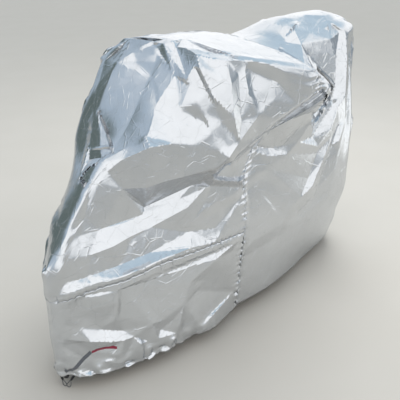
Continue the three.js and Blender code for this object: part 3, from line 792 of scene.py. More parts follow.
# Creases of the near side, each a line of points: x and y in pixels of the photograph and a lift in mm.
FRONT_CREASES = {
    "far end of the cowl": [(124, 41, -3), (103, 60, -7), (93, 92, -6)],
    "edge of the cowl end": [(132, 40, 7), (118, 64, 12), (104, 95, 9), (98, 110, 5)],
    "ridge across the end": [(118, 64, 12), (96, 86, -3)],
    "top of the front face": [(132, 39, 7), (152, 42, 5), (174, 42, 3), (183, 38, 0)],
    "upper edge of the level band": [(134, 53, 3), (158, 54, 3)],
    "lower edge of the level band": [(135, 61, -3), (161, 62, -3)],
    "first stripe foot": [(154, 44, -3), (174, 76, -3)],
    "first stripe crest": [(165, 46, 10), (187, 80, 9)],
    "second stripe foot": [(175, 46, -4), (193, 66, -5), (206, 92, -3)],
    "second stripe crest": [(187, 50, 8), (200, 68, 9), (214, 97, 6)],
    "edge of the white facet": [(198, 56, 4), (230, 81, 9), (233, 119, 7)],
    "valley beside the arm": [(197, 49, -1), (227, 61, -3), (240, 73, -6), (243, 121, -5)],
    "light line": [(245, 72, 3), (249, 97, 4), (249, 119, 2)],
    "dark band": [(251, 71, -3), (256, 95, -5)],
    "arm front ridge": [(246, 61, 5), (270, 65, 8), (284, 73, 7)],
    "arm lower streak": [(257, 98, -5), (279, 83, -6)],
    "lower edge of the arm": [(272, 99, 2), (259, 115, 3), (248, 130, 3), (239, 142, 2)],
    "front of the seam": [(256, 139, 0), (276, 119, 0), (298, 104, 0), (316, 91, 0)],
    "blue and white border": [(154, 80, 5), (157, 106, 9), (147, 138, 7)],
    "short fold crest": [(179, 111, 3), (189, 105, 4), (203, 114, 3)],
    "grey facet foot": [(190, 115, -2), (206, 123, -2)],
    "long fold crest": [(158, 119, 2), (176, 119, 3), (190, 123, 3), (211, 131, 2)],
    "right border of the bulge": [(190, 87, 3), (197, 101, 5), (203, 114, 4), (211, 131, 3), (219, 149, 3)],
    "streak valley": [(213, 101, -4), (221, 120, -6), (232, 147, -4)],
    "brow of the bulge": [(132, 146, 3), (151, 147, 4), (172, 144, 4), (191, 145, 4)],
    "stitch valley": [(112, 151, -3), (100, 156, -4), (88, 159, -3)],
    "roll crest": [(125, 150, 3), (104, 161, 5), (89, 168, 5), (80, 178, 3)],
    "roll foot": [(123, 159, -2), (107, 169, -4), (95, 177, -3), (87, 188, -3)],
    "side hollow": [(98, 184, -2), (92, 202, -7), (84, 220, -3)],
    "upper edge of the hollow": [(146, 187, 7), (160, 182, 9), (182, 176, 9), (217, 166, 7), (229, 157, 3)],
    "lower edge of the hollow": [
        (107, 172, -3), (122, 190, -9), (146, 207, -13), (174, 195, -14), (192, 187, -12), (227, 163, -6)],
    "upper fold edge": [
        (64, 243, -4), (81, 235, -6), (101, 229, -7), (143, 214, -7), (178, 200, -6), (206, 188, -3)],
    "upper fold crest": [(65, 261, 4), (90, 254, 5), (112, 246, 6), (151, 226, 6), (188, 207, 5)],
    "upper fold crinkle": [(126, 222, -2), (131, 238, 2)],
    "lower fold edge": [
        (64, 285, -3), (88, 276, -5), (120, 264, -7), (150, 252, -8), (190, 232, -7), (216, 228, -3)],
    "lower fold crest": [
        (64, 294, 3), (92, 284, 4), (120, 277, 6), (150, 265, 7), (190, 247, 6), (214, 242, 5)],
    "thin upright line": [(216, 170, 3), (212, 186, -5), (205, 203, -4), (192, 222, 2)],
    "ledge by the seam": [(243, 187, 2), (229, 197, 6), (215, 203, 5), (206, 209, 2)],
    "under the ledge": [(243, 197, -4), (228, 207, -6), (214, 215, -4)],
}
# Places without fine crumple, in pixels of the photograph: x, y and the reach across and down.
FRONT_CALM = [
    (120, 195, 28, 24), (132, 98, 24, 18), (170, 165, 34, 12), (120, 215, 50, 20), (225, 90, 25, 30),
]
# Steps of the grid to each stretch between two sections, along the cover and up its far side.
FRONT_STATION_STEPS = (10, 14, 20, 24, 26, 32, 58)
FRONT_LEVEL_STEPS = (26, 24, 18, 20)
SKIRT_LEVEL = 1


def near_levels(first, counts):
    """Levels of a near side, from its lower edge up to the crown."""
    return steps_between(first, [NEAR_STEPS * count for count in counts])


def far_levels(first, counts):
    """Levels of a far side, from its lower edge up to the crown."""
    return LAST_LEVEL - steps_between(first, counts)


front_stations = steps_between(0, FRONT_STATION_STEPS)
front_near = film_side(front_stations, near_levels(SKIRT_LEVEL, FRONT_LEVEL_STEPS), FRONT_CREASES, FRONT_CALM,
                       seed=11, seam_rows=[True], seam_columns=[False])
front_far_levels = far_levels(SKIRT_LEVEL, FRONT_LEVEL_STEPS)


# Folds of the far side, which the photograph doesn't show, chosen to answer those of the near side.
# Each has its width and its points: x, z and a lift, all in millimetres of the shared frame.
FRONT_FAR_FOLDS = {
    "upper fold": (32, [
        (-900, -750, 0), (-720, -690, 12), (-520, -600, 17), (-330, -530, 15), (-170, -480, 0)]),
    "above the upper fold": (30, [
        (-860, -690, 0), (-680, -620, -9), (-500, -530, -13), (-330, -460, -11), (-190, -410, 0)]),
    "lower fold": (28, [
        (-840, -815, 0), (-640, -770, 12), (-430, -715, 15), (-260, -690, 11), (-150, -680, 0)]),
    "above the lower fold": (26, [
        (-800, -765, 0), (-610, -710, -8), (-420, -655, -10), (-270, -625, -7), (-160, -610, 0)]),
    "slanted crease": (22, [(-560, -300, 0), (-470, -370, 9), (-360, -420, 11), (-250, -430, 0)]),
    "under the far grip": (20, [(-210, -230, 0), (-260, -300, -8), (-290, -390, -9), (-280, -470, 0)]),
}


def soft_folds(folds, points):
    """Lifts of the soft ridges and troughs along fold lines, for each place of a grid."""
    flat = points[..., (0, 2)]
    lifts = np.zeros(flat.shape[:2])
    for wide, line in folds.values():
        corners = np.array(line, float)
        nearest = np.full(lifts.shape, np.inf)
        lift = np.zeros(lifts.shape)
        for start, stop in zip(corners[:-1], corners[1:]):
            run = stop[:2] - start[:2]
            share = np.clip((flat - start[:2]) @ run / (run @ run), 0, 1)
            apart = np.linalg.norm(flat - start[:2] - share[..., None] * run, axis=-1)
            closer = apart < nearest
            nearest = np.where(closer, apart, nearest)
            lift = np.where(closer, start[2] + share * (stop[2] - start[2]), lift)
        lifts += lift * bell(nearest / wide)
    return lifts


def far_side(stations, levels, lines, folds, calm, seed, seam_rows, seam_columns):
    """The far side of a panel, made from the crown down and then turned to count from its lower edge up."""
    turned_columns = [not last for last in seam_columns]
    flipped = film_side(stations, levels[::-1], lines, calm, seed, seam_rows, turned_columns)
    points, normals = folded_form(stations, levels[::-1])
    flipped += normals * soft_folds(folds, points)[..., None]
    return flipped[:, ::-1]


front_far = far_side(front_stations, front_far_levels, FRONT_CREASES, FRONT_FAR_FOLDS, FRONT_CALM,
                     seed=21, seam_rows=[True], seam_columns=[False])
front_panel = sheet_piece("front_film_panel", front_near, front_far,
                          joined=True, tip=True, end=False, node="front_panel")


# Front skirt
# The lower strip of the cover in front of the transverse seam, sewn to the front panel along the skirt line.
# It is the same film cloth, and its turned hem hangs crumpled at the tip and smooth further back.
SKIRT_CREASES = {
    "left of the upright": [(118, 289, 7), (117, 303, 8), (116, 318, 4)],
    "right of the upright": [(123, 289, -5), (122, 303, -7), (121, 318, -5)],
    "panel edge": [(83, 296, -3), (84, 312, -2)],
    "foot of the panel": [(67, 314, 2), (88, 319, 2), (106, 320, 0)],
    "pocket line": [(79, 327, -4), (102, 329, -8), (125, 332, -10), (134, 338, -6)],
    "pocket lip": [(68, 339, 5), (90, 341, 10), (111, 341, 11), (124, 340, 7)],
    "below the lip": [(72, 352, -5), (92, 353, -6), (112, 347, -3)],
    "upper corner crease": [(63, 325, 4), (67, 338, 9)],
    "lower corner crease": [(62, 345, 5), (67, 356, 9), (72, 367, 7)],
    "corner foot": [(75, 344, -5), (81, 358, -9), (86, 367, -5)],
    "star left ray": [(185, 304, -2), (177, 333, 8)],
    "star middle ray": [(185, 304, -2), (186, 336, -10)],
    "star right ray": [(188, 308, 0), (200, 326, 10)],
    "star upper ray": [(185, 304, -2), (207, 280, -7)],
    "star far left ray": [(181, 311, -2), (162, 330, -9)],
    "left crinkle": [(151, 323, 5), (163, 319, 6), (173, 319, 3)],
    "facet diagonal": [(240, 239, 3), (215, 258, 9), (190, 281, 6)],
    "facet foot": [(198, 291, -7), (235, 292, -5)],
    "beside the seam": [(232, 252, -6), (230, 281, -6)],
    "hem gather one": [(121, 355, 7), (125, 366, 7)],
    "hem gather two": [(131, 350, -8), (135, 362, -8)],
    "hem gather three": [(140, 343, 10), (145, 358, 8)],
    "hem gather four": [(149, 342, -8), (154, 354, -8)],
    "hem gather five": [(158, 338, 8), (163, 350, 8)],
}
SKIRT_CALM = [(155, 308, 28, 20), (215, 310, 20, 20), (95, 305, 20, 12)]
SKIRT_STEPS = (36,)
HEM_LEVEL = 0
# Gathers and crumple of the hem in millimetres, and the share of the gathers that is left further back.
HEM_LONGEST = 4000
HEM_EVERY = 17
HEM_GATHER = 9
HEM_REACH = 55
HEM_CALM_ALONG = (450, 900)
HEM_LEFT = 0.2
HEM_CRUMPLE_APART = 34
HEM_CRUMPLE_HEIGHT = 12
HEM_CRUMPLE_REACH = 105


def gathered_hem(grid, seed):
    """A grid with the gathers and the crumple of its turned hem, strongest at the front tip."""
    draw = np.random.default_rng(seed)
    span = line_span(grid[:, 0])
    calm = ease(span, *HEM_CALM_ALONG)
    knots = np.arange(0, HEM_LONGEST, HEM_EVERY)
    heights = draw.uniform(-1, 1, len(knots))
    wave = np.interp(span, knots, heights) * HEM_GATHER
    wave *= HEM_LEFT + (1 - HEM_LEFT) * (1 - calm)
    height = column_distance(grid, False)
    normals = grid_normals(grid)
    spans = np.stack([np.broadcast_to(span[:, None], height.shape), height], -1)
    moves = crumple(spans, HEM_CRUMPLE_APART, HEM_CRUMPLE_HEIGHT, seed, grid, normals)
    moves *= ((1 - calm)[:, None] * bell(height / HEM_CRUMPLE_REACH))[..., None]
    return grid + moves + normals * (wave[:, None] * np.exp(-height / HEM_REACH))[..., None]


SKIRT_FAR_FOLDS = {
    "front pull": (24, [(-880, -900, 0), (-800, -960, 10), (-700, -1040, 9), (-620, -1090, 0)]),
    "rear pull": (26, [(-190, -850, 0), (-260, -930, 9), (-350, -1010, 11), (-430, -1090, 0)]),
}
skirt_near_levels = near_levels(HEM_LEVEL, SKIRT_STEPS)
skirt_far_levels = far_levels(HEM_LEVEL, SKIRT_STEPS)
skirt_near = film_side(front_stations, skirt_near_levels, SKIRT_CREASES, SKIRT_CALM,
                       seed=31, seam_rows=[True], seam_columns=[True])
skirt_far = far_side(front_stations, skirt_far_levels, SKIRT_CREASES, SKIRT_FAR_FOLDS, SKIRT_CALM,
                     seed=41, seam_rows=[True], seam_columns=[True])
skirt_near = gathered_hem(skirt_near, seed=32)
skirt_far = gathered_hem(skirt_far, seed=42)
front_skirt = sheet_piece("front_film_skirt", skirt_near, skirt_far,
                          joined=False, tip=True, end=False, node="front_skirt")


# Rear panel
# The one-piece rear of the cover, from the transverse seam over the high rear to the closed end.
# It is the same film cloth, smooth low down and crinkled under the arm and at the rear.
REAR_CREASES = {
    "under the arm": [(256, 139, 6), (266, 131, 9), (290, 118, 9), (312, 106, 5)],
    "foot of the hollow": [(257, 146, -8), (270, 149, -13), (286, 146, -13), (299, 131, -9), (313, 114, -4)],
    "lip below the hollow": [(256, 152, 4), (270, 156, 6), (287, 154, 4)],
    "streak by the seam": [(253, 176, 1), (260, 172, 7), (268, 169, 4)],
    "below the streak": [(254, 185, -4), (265, 180, -4)],
    "first white fold crest": [(325, 96, 8), (312, 118, 13), (297, 142, 4)],
    "first white fold foot": [(334, 104, -6), (322, 124, -8), (313, 138, -5)],
    "second white fold crest": [(337, 108, 8), (328, 128, 13), (317, 146, 6)],
    "second white fold foot": [(341, 120, -6), (333, 145, -7), (326, 165, -8), (319, 189, -6)],
    "streak one": [(331, 136, 5), (321, 160, 11), (311, 186, 7)],
    "streak two": [(338, 150, 6), (334, 168, 9), (329, 193, 5)],
    "beside streak one": [(318, 152, -5), (309, 178, -4)],
    "crinkle line top": [(283, 221, 5), (290, 206, 10), (299, 198, 8), (306, 191, 9)],
    "crinkle line foot": [(290, 229, -5), (299, 214, -9), (308, 207, -8), (316, 199, -8)],
    "rear edge fold crest": [(345, 34, 6), (345, 60, 13), (343, 96, 14), (338, 140, 9)],
    "rear edge fold foot": [(350, 44, -6), (350, 80, -9), (347, 120, -8)],
    "rear edge fold inner foot": [(337, 50, -6), (336, 84, -9), (331, 100, -6)],
    "hump first crease": [(303, 16, 5), (294, 30, 8), (280, 42, 5)],
    "hump second crease": [(318, 18, -5), (311, 32, -7), (302, 44, -4)],
    "hump third crease": [(325, 17, 5), (330, 40, 8), (335, 57, 4)],
    "hump fourth crease": [(330, 20, -4), (340, 32, -5)],
}
REAR_CALM = [(285, 190, 30, 40), (270, 240, 24, 30), (320, 215, 20, 30)]
REAR_FAR_FOLDS = {
    "first hanging fold": (30, [(870, -140, 0), (845, -260, 13), (800, -420, 15), (740, -580, 0)]),
    "beside the first": (28, [(800, -150, 0), (775, -270, -10), (735, -420, -11), (680, -560, 0)]),
    "second hanging fold": (30, [(690, -170, 0), (650, -290, 12), (580, -430, 14), (480, -560, 0)]),
    "beside the second": (28, [(610, -190, 0), (570, -300, -9), (500, -420, -10), (420, -520, 0)]),
    "pull from the grip": (26, [(30, -330, 0), (120, -400, 11), (230, -450, 13), (380, -470, 0)]),
    "under the pull": (24, [(20, -400, 0), (110, -465, -9), (220, -515, -10), (360, -540, 0)]),
    "low sweep": (34, [(80, -700, 0), (260, -770, 9), (480, -800, 11), (700, -770, 0)]),
}
REAR_STATION_STEPS = (14, 28, 38, 32, 36, 26, 16)
REAR_LEVEL_STEPS = (20, 20, 19, 12, 12)

rear_stations = steps_between(SEAM_STATION, REAR_STATION_STEPS)
rear_near_levels = near_levels(HEM_LEVEL, REAR_LEVEL_STEPS)
rear_far_levels = far_levels(HEM_LEVEL, REAR_LEVEL_STEPS)
rear_near = film_side(rear_stations, rear_near_levels, REAR_CREASES, REAR_CALM,
                      seed=51, seam_rows=[False], seam_columns=[])
rear_far = far_side(rear_stations, rear_far_levels, REAR_CREASES, REAR_FAR_FOLDS, REAR_CALM,
                    seed=61, seam_rows=[False], seam_columns=[])
rear_panel = sheet_piece("rear_film_panel", rear_near, rear_far,
                         joined=True, tip=False, end=True, node="rear_panel")


# Hem strap
# A short length of flat grey webbing sewn on the skirt, running from the hem at the tip up to the red tape.
# It is woven from synthetic yarn, so it shows cross ribs and a darker turned edge.
# Its width, its thickness and its height over the skirt are in millimetres, like the skirt's grid.
STRAP_WIDTH = 14
STRAP_THICK = 1.4
WEBBING_LIFT = 0.9
# Places of its middle line, by station along the cover and level up the skirt.
STRAP_PLACES = [(0.42, 0.045), (0.83, 0.085), (1.25, 0.18), (1.64, 0.26)]
WEBBING_STEPS = 60
WEBBING_ACROSS = 10
WEBBING_SMOOTHING = 4
EDGE_SHARE = 0.55
EDGE_ROUNDING = 6
RIB_MM = 2.4
TWILL_FINER = 1.5
WEAVE_DEPTH = 0.6 * MM
STRAP_GREY = "#83878D"
# The darker grey below is painted shade between the ribs of the weave, not a second yarn colour.
STRAP_PAINTED_SHADE = "#3E4147"
skirt_normals = grid_normals(skirt_near)


def on_skirt(station, level):
    """A place on the near side of the front skirt and the outward normal there, in millimetres."""
    i = np.clip(np.searchsorted(front_stations, station) - 1, 0, len(front_stations) - 2)
    j = np.clip(np.searchsorted(skirt_near_levels, level) - 1, 0, len(skirt_near_levels) - 2)
    along = (station - front_stations[i]) / (front_stations[i + 1] - front_stations[i])
    upward = (level - skirt_near_levels[j]) / (skirt_near_levels[j + 1] - skirt_near_levels[j])

    def blend(table):
        low = table[i, j] * (1 - along) + table[i + 1, j] * along
        high = table[i, j + 1] * (1 - along) + table[i + 1, j + 1] * along
        return low * (1 - upward) + high * upward

    normal = blend(skirt_normals)
    return blend(skirt_near), normal / np.linalg.norm(normal)


def webbing(name, places, width, thick, material, node):
    """Flat webbing with rounded edges that follows the skirt along its middle line."""
    shares = np.linspace(0, len(places) - 1, WEBBING_STEPS + 1)
    route = [on_skirt(station, level) for station, level in between(places, shares)]
    middle = np.array([place for place, _ in route])
    normal = np.array([up for _, up in route])
    for _ in range(WEBBING_SMOOTHING):
        normal[1:-1] = (normal[:-2] + normal[1:-1] + normal[2:]) / 3
        middle[1:-1] = (middle[:-2] + 2 * middle[1:-1] + middle[2:]) / 4
    normal /= np.linalg.norm(normal, axis=1, keepdims=True)
    ahead = np.gradient(middle, axis=0)
    beside = np.cross(normal, ahead)
    beside /= np.linalg.norm(beside, axis=1, keepdims=True)
    span = line_span(middle)
    section = []
    for k in range(WEBBING_ACROSS + 1):
        section.append((k / WEBBING_ACROSS - 0.5, 1))
    for k in range(WEBBING_ACROSS, -1, -1):
        section.append((k / WEBBING_ACROSS - 0.5, 0))
    count = len(section)
    vertices = []
    for place, up, out in zip(middle, normal, beside):
        for share, high in section:
            rounded = 1 - (2 * abs(share)) ** EDGE_ROUNDING
            lifted = WEBBING_LIFT + thick * high * (EDGE_SHARE + (1 - EDGE_SHARE) * rounded)
            vertices.append((place + out * share * width + up * lifted) * MM)
    faces = []
    for i in range(WEBBING_STEPS):
        for k in range(count):
            a = i * count + k
            b = i * count + (k + 1) % count
            faces.append((a, a + count, b + count, b))
    faces.append(range(count))
    faces.append(range(len(vertices) - 1, len(vertices) - count - 1, -1))
    piece = mesh_piece(name, vertices, faces, material, node)
    weave = piece.data.uv_layers.new(name="weave")
    for corner in piece.data.loops:
        i, k = divmod(corner.vertex_index, count)
        weave.data[corner.index].uv = (span[i] * MM, section[k][0] * width * MM)
    return piece


def woven_material(name, colour, dark, rib_mm):
    """Woven webbing: dull yarn in cross ribs with a finer twill over them, with painted shade in the darker
    colour between the ribs.
    """
    material, tree, output = new_material(name)
    # A wave texture of scale 1 has a little over three bands to the metre.
    bands = 1000 / rib_mm / math.pi
    uv = add_node(tree, "ShaderNodeUVMap", {"uv_map": "weave"})
    ribs = add_node(tree, "ShaderNodeTexWave", {"bands_direction": "X"}, {
        "Vector": uv.outputs["UV"], "Scale": bands, "Distortion": 0.4})
    twill = add_node(tree, "ShaderNodeTexWave", {"bands_direction": "DIAGONAL"}, {
        "Vector": uv.outputs["UV"], "Scale": bands * TWILL_FINER})
    weave = add_node(tree, "ShaderNodeMath", {"operation": "MULTIPLY"}, {
        0: ribs.outputs["Fac"], 1: twill.outputs["Fac"]})
    # The weave's low places take the darker colour: painted shade between the ribs, the yarn's own colour on
    # their tops.
    tone = add_node(tree, "ShaderNodeMix", {"data_type": "RGBA"}, {
        "Factor": weave.outputs["Value"], 6: linear(dark), 7: linear(colour)})
    bump = add_node(tree, "ShaderNodeBump", inputs={
        "Strength": 0.6, "Distance": WEAVE_DEPTH, "Height": weave.outputs["Value"]})
    yarn = add_node(tree, "ShaderNodeBsdfPrincipled", inputs={
        "Base Color": tone.outputs[2], "Roughness": 0.78, "Sheen Weight": 0.2,
        "Normal": bump.outputs["Normal"]})
    tree.links.new(yarn.outputs["BSDF"], output.inputs["Surface"])
    return material


strap_weave = woven_material("Woven grey webbing", STRAP_GREY, STRAP_PAINTED_SHADE, RIB_MM)
webbing("grey_webbing_strap", STRAP_PLACES, STRAP_WIDTH, STRAP_THICK, strap_weave, "hem_strap")


# Red tape
# A narrow red woven tape sewn flat on the skirt, in line with the grey strap.
# It is a thin twill tape of red yarn, with painted shade in deep red between its ribs.
TAPE_WIDTH = 11
TAPE_THICK = 1.0
TAPE_PLACES = [(1.69, 0.262), (2.1, 0.285), (2.45, 0.255)]
TAPE_RED = "#B0304C"
# The deep red below is painted shade between the ribs of the tape, not a second yarn colour.
TAPE_PAINTED_SHADE = "#6E1C30"
tape_weave = woven_material("Woven red twill tape", TAPE_RED, TAPE_PAINTED_SHADE, RIB_MM)
webbing("red_twill_tape", TAPE_PLACES, TAPE_WIDTH, TAPE_THICK, tape_weave, "red_tape")


# Hem toggle
# A half-round stop of moulded black plastic under the hem at the front tip, between the two sleeves.
# Its edges are rounded, and a shallow slot runs along its face.
TOGGLE_STATIONS = (0.3, 0.5)
TOGGLE_WIDTH = 27 * MM
TOGGLE_DROP = 14 * MM
TOGGLE_THICK = 10 * MM
TOGGLE_ARC = 24
# Each layer through the thickness: its share of the thickness and how large its outline is.
TOGGLE_LAYERS = [(-0.5, 0.84), (-0.46, 0.94), (-0.37, 1), (-0.12, 1), (-0.08, 0.93), (0.08, 0.93),
                 (0.12, 1), (0.37, 1), (0.46, 0.94), (0.5, 0.84)]

hem_start, hem_stop = form_points(np.array(TOGGLE_STATIONS), np.array([HEM_LEVEL]))[:, 0]
hem_run = Vector(hem_stop - hem_start).normalized()
hem_out = Vector((hem_run.y, -hem_run.x, 0))
toggle_low, toggle_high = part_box("hem_toggle")
toggle_middle = (toggle_low + toggle_high) / 2
toggle_top = Vector((toggle_middle.x, toggle_middle.y, toggle_high.z))
vertices = []
faces = []
for thick_share, size in TOGGLE_LAYERS:
    for k in range(TOGGLE_ARC + 1):
        turn = math.pi * k / TOGGLE_ARC
        across = -TOGGLE_WIDTH / 2 * math.cos(turn) * size
        drop = TOGGLE_DROP * math.sin(turn) * size
        outward = hem_out * TOGGLE_THICK * thick_share
        vertices.append(toggle_top + hem_run * across + outward - Vector((0, 0, drop)))
count = TOGGLE_ARC + 1
for layer in range(len(TOGGLE_LAYERS) - 1):
    for k in range(count):
        a = layer * count + k
        b = layer * count + (k + 1) % count
        faces.append((a, b, b + count, a + count))
faces.append(range(count - 1, -1, -1))
faces.append(range(len(vertices) - count, len(vertices)))
mesh_piece("half_round_stop", vertices, faces, plastic, "hem_toggle")


# Seam stitching
# Rows of grey polyester thread run beside the transverse seam, along the skirt line, round the hem
# and on a short dart. Each stitch is a short raised dash of thread, spaced evenly along its row.
STITCH_LENGTH = 4.2 * MM
STITCH_EVERY = 6.8 * MM
THREAD_THICK = 1.0 * MM
THREAD_LIFT_MM = 0.5
THREAD_GREY = "#8E949A"
THREAD_DARK = "#6D7379"
STITCH_SEED = 5
STITCH_UNEVEN = (0.8, 1.15)
TWIST_MM = 1
# Rows and columns of the panels' grids that lie next to the seams and the hem, and the dart by its pixels.
SEAM_ROW = 1
SKIRT_COLUMN = -2
SKIRT_HEM_COLUMN = 3
SKIRT_FAR_HEM_COLUMN = 2
REAR_HEM_COLUMN = 2
REAR_FAR_HEM_COLUMN = 1
DART_PIXELS = [(86, 159), (100, 156), (111, 152)]

# Polyester sewing thread: soft grey with a slight sheen. Its twist is drawn coarser than it is, to show.
thread, tree, output = new_material("Polyester sewing thread")
coords = add_node(tree, "ShaderNodeTexCoord")
twist = add_node(tree, "ShaderNodeTexNoise", inputs={
    "Vector": coords.outputs["Object"], "Scale": 1000 / TWIST_MM})
tone = add_node(tree, "ShaderNodeMix", {"data_type": "RGBA"}, {
    "Factor": twist.outputs["Fac"], 6: linear(THREAD_DARK), 7: linear(THREAD_GREY)})
yarn = add_node(tree, "ShaderNodeBsdfPrincipled", inputs={
    "Base Color": tone.outputs[2], "Roughness": 0.6, "Sheen Weight": 0.15})
tree.links.new(yarn.outputs["BSDF"], output.inputs["Surface"])


def raised(near):
    """A near side's grid, lifted off the film to the height of the thread."""
    return near + grid_normals(near) * THREAD_LIFT_MM


def raised_far(far):
    """The same for a far side, whose grid counts the other way."""
    return far - grid_normals(far) * THREAD_LIFT_MM


front_pixels = photo_pixels(front_near * MM)
dart = []
for x, y in DART_PIXELS:
    apart = np.hypot(front_pixels[..., 0] - x, front_pixels[..., 1] - y)
    dart.append(raised(front_near)[np.unravel_index(apart.argmin(), apart.shape)])
stitch_rows = [
    raised(rear_near)[SEAM_ROW],
    raised_far(rear_far)[SEAM_ROW],
    raised(skirt_near)[:, SKIRT_COLUMN],
    raised_far(skirt_far)[:, SKIRT_COLUMN],
    raised(skirt_near)[:, SKIRT_HEM_COLUMN],
    raised_far(skirt_far)[:, SKIRT_FAR_HEM_COLUMN],
    raised(rear_near)[:, REAR_HEM_COLUMN],
    raised_far(rear_far)[:, REAR_FAR_HEM_COLUMN],
    np.array(dart),
]
rows_curve = bpy.data.curves.new("stitch_rows", "CURVE")
rows_curve.dimensions = "3D"
for row in stitch_rows:
    spline = rows_curve.splines.new("POLY")
    spline.points.add(len(row) - 1)
    for point, place in zip(spline.points, row * MM):
        point.co = (*place, 1)
rows_object = bpy.data.objects.new("stitch_rows", rows_curve)
bpy.context.scene.collection.objects.link(rows_object)

stitcher = bpy.data.node_groups.new("Stitches along rows", "GeometryNodeTree")
stitcher.interface.new_socket("Rows", in_out="INPUT", socket_type="NodeSocketGeometry")
STITCH_INPUTS = {
    "Stitch Length": STITCH_LENGTH, "Stitch Spacing": STITCH_EVERY, "Thread Thickness": THREAD_THICK,
}
for name in STITCH_INPUTS:
    stitcher.interface.new_socket(name, in_out="INPUT", socket_type="NodeSocketFloat")
stitcher.interface.new_socket("Thread", in_out="INPUT", socket_type="NodeSocketMaterial")
stitcher.interface.new_socket("Stitches", in_out="OUTPUT", socket_type="NodeSocketGeometry")
given = add_node(stitcher, "NodeGroupInput")
along_rows = add_node(stitcher, "GeometryNodeCurveToPoints", {"mode": "LENGTH"}, {
    "Curve": given.outputs["Rows"], "Length": given.outputs["Stitch Spacing"]})
ball = add_node(stitcher, "GeometryNodeMeshUVSphere", inputs={"Segments": 6, "Rings": 4, "Radius": 0.5})
stitch_size = add_node(stitcher, "ShaderNodeCombineXYZ", inputs={
    "X": given.outputs["Thread Thickness"], "Y": given.outputs["Thread Thickness"],
    "Z": given.outputs["Stitch Length"]})
stitch = add_node(stitcher, "GeometryNodeTransform", inputs={
    "Geometry": ball.outputs["Mesh"], "Scale": stitch_size.outputs["Vector"]})
uneven = add_node(stitcher, "FunctionNodeRandomValue", {"data_type": "FLOAT"}, {
    2: STITCH_UNEVEN[0], 3: STITCH_UNEVEN[1], "Seed": STITCH_SEED})
placed = add_node(stitcher, "GeometryNodeInstanceOnPoints", inputs={
    "Points": along_rows.outputs["Points"], "Instance": stitch.outputs["Geometry"],
    "Rotation": along_rows.outputs["Rotation"], "Scale": uneven.outputs[1]})
real = add_node(stitcher, "GeometryNodeRealizeInstances", inputs={"Geometry": placed.outputs["Instances"]})
dyed = add_node(stitcher, "GeometryNodeSetMaterial", inputs={
    "Geometry": real.outputs["Geometry"], "Material": given.outputs["Thread"]})
add_node(stitcher, "NodeGroupOutput", inputs={"Stitches": dyed.outputs["Geometry"]})

sewing = rows_object.modifiers.new("sewing", "NODES")
sewing.node_group = stitcher
sockets = {item.name: item.identifier for item in stitcher.interface.items_tree if item.in_out == "INPUT"}
for name, value in STITCH_INPUTS.items():
    sewing[sockets[name]] = value
sewing[sockets["Thread"]] = thread
sewn = bpy.data.meshes.new_from_object(rows_object.evaluated_get(bpy.context.evaluated_depsgraph_get()))
rows_object.modifiers.clear()
bpy.data.objects.remove(rows_object)
stitching = bpy.data.objects.new("seam_stitching", sewn)
sewn.polygons.foreach_set("use_smooth", [True] * len(sewn.polygons))
bpy.context.scene.collection.objects.link(stitching)
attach(stitching, "root")


# Stage
# A plain pale floor under the cover and soft studio light around it, with no part in the object itself.
# The light is a tent of pale walls, dark at the far left, with a soft box overhead and one beside the rear.
FLOOR_GAP = 4 * MM
FLOOR_UP = cad_low.z - FLOOR_GAP
FLOOR_HALF = 30.0
FLOOR_PALE = "#B8B4AC"
FLOOR_WARM = "#BDB9B2"
FLOOR_MOTTLE_MM = 400
FLOOR_CORNERS = ((-1, -1), (1, -1), (1, 1), (-1, 1))

# Matt paint: an even pale grey with faint broad mottling and no shine.
floor_material, tree, output = new_material("Matt pale studio floor")
coords = add_node(tree, "ShaderNodeTexCoord")
mottle = add_node(tree, "ShaderNodeTexNoise", inputs={
    "Vector": coords.outputs["Object"], "Scale": 1000 / FLOOR_MOTTLE_MM})
tone = add_node(tree, "ShaderNodeMix", {"data_type": "RGBA"}, {
    "Factor": mottle.outputs["Fac"], 6: linear(FLOOR_PALE), 7: linear(FLOOR_WARM)})
matt = add_node(tree, "ShaderNodeBsdfPrincipled", inputs={"Base Color": tone.outputs[2], "Roughness": 0.9})
tree.links.new(matt.outputs["BSDF"], output.inputs["Surface"])
floor_mesh = bpy.data.meshes.new("floor")
floor_mesh.from_pydata(
    [(x * FLOOR_HALF, y * FLOOR_HALF, FLOOR_UP) for x, y in FLOOR_CORNERS], [], [(0, 1, 2, 3)])
floor_mesh.materials.append(floor_material)
floor = bpy.data.objects.new("floor", floor_mesh)
bpy.context.scene.collection.objects.link(floor)

# Light tent: white on the right, ahead and behind, pale blue at the upper right, grey below and low on the
# right, dark at the far left, and blue-grey elsewhere.
TENT_STRENGTH = 1.35
TENT_LEFT = "#A9B8C6"
TENT_WHITE = "#FFFFFF"
TENT_LOW = "#828D96"
TENT_TOP = "#B7CAD8"
TENT_DARK = "#56625F"


def towards(turn, rise):
    """A direction given by degrees to the right of straight ahead and degrees above the level."""
    level = level_forward * math.cos(math.radians(turn)) + view_right * math.sin(math.radians(turn))
    return level * math.cos(math.radians(rise)) + Vector((0, 0, math.sin(math.radians(rise))))


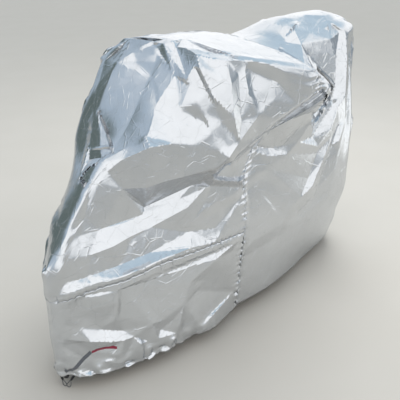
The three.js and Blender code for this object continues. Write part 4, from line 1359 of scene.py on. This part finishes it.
# Each patch of the tent: the direction of its middle, the cosines where it starts and is full, its colour.
TENT_PATCHES = {
    "white right wall": (towards(105, 25), -0.28, 0.0, TENT_WHITE),
    "white wall behind": (towards(-150, 25), 0.81, 0.91, TENT_WHITE),
    "low band": (towards(0, -90), -0.1, 0.0, TENT_LOW),
    "white wall ahead": (towards(15, 25), 0.82, 0.95, TENT_WHITE),
    "blue upper right": (towards(46, 59), 0.79, 0.89, TENT_TOP),
    "grey low right": (towards(73, 5), 0.945, 0.98, TENT_LOW),
    "dark far left": (towards(-68, 16), 0.88, 0.985, TENT_DARK),
}
world = bpy.data.worlds.new("Light tent")
bpy.context.scene.world = world
world.use_nodes = True
tree = world.node_tree
tree.nodes.clear()
coords = add_node(tree, "ShaderNodeTexCoord")
sky = linear(TENT_LEFT)
for middle, start, full, colour in TENT_PATCHES.values():
    turned = add_node(tree, "ShaderNodeVectorMath", {"operation": "DOT_PRODUCT"}, {
        0: coords.outputs["Generated"], 1: middle})
    share = add_node(tree, "ShaderNodeMapRange", {"interpolation_type": "SMOOTHSTEP"}, {
        "Value": turned.outputs["Value"], "From Min": start, "From Max": full})
    mixed = add_node(tree, "ShaderNodeMix", {"data_type": "RGBA"}, {
        "Factor": share.outputs["Result"], 6: sky, 7: linear(colour)})
    sky = mixed.outputs[2]
glow = add_node(tree, "ShaderNodeBackground", inputs={"Color": sky, "Strength": TENT_STRENGTH})
add_node(tree, "ShaderNodeOutputWorld", inputs={"Surface": glow.outputs["Background"]})

# Square soft boxes; the one overhead isn't mirrored in the film.
SOFT_BOXES = [
    {"name": "overhead", "place": towards(25, 57) * 3.6, "target": Vector((0, 0, -1.0)),
     "size": 2.0, "power": 110, "mirrored": False},
    {"name": "beside the rear", "place": Vector((2.3, -1.15, -0.66)), "target": Vector((0.6, -0.2, -0.66)),
     "size": 0.9, "power": 2.3, "mirrored": True},
]
for box in SOFT_BOXES:
    light = bpy.data.lights.new(box["name"], "AREA")
    light.size = box["size"]
    light.energy = box["power"]
    lamp = bpy.data.objects.new(box["name"], light)
    lamp.location = box["place"]
    lamp.rotation_euler = (box["target"] - box["place"]).to_track_quat("-Z", "Y").to_euler()
    lamp.visible_camera = False
    lamp.visible_glossy = box["mirrored"]
    bpy.context.scene.collection.objects.link(lamp)
bpy.context.scene.view_settings.view_transform = "Standard"
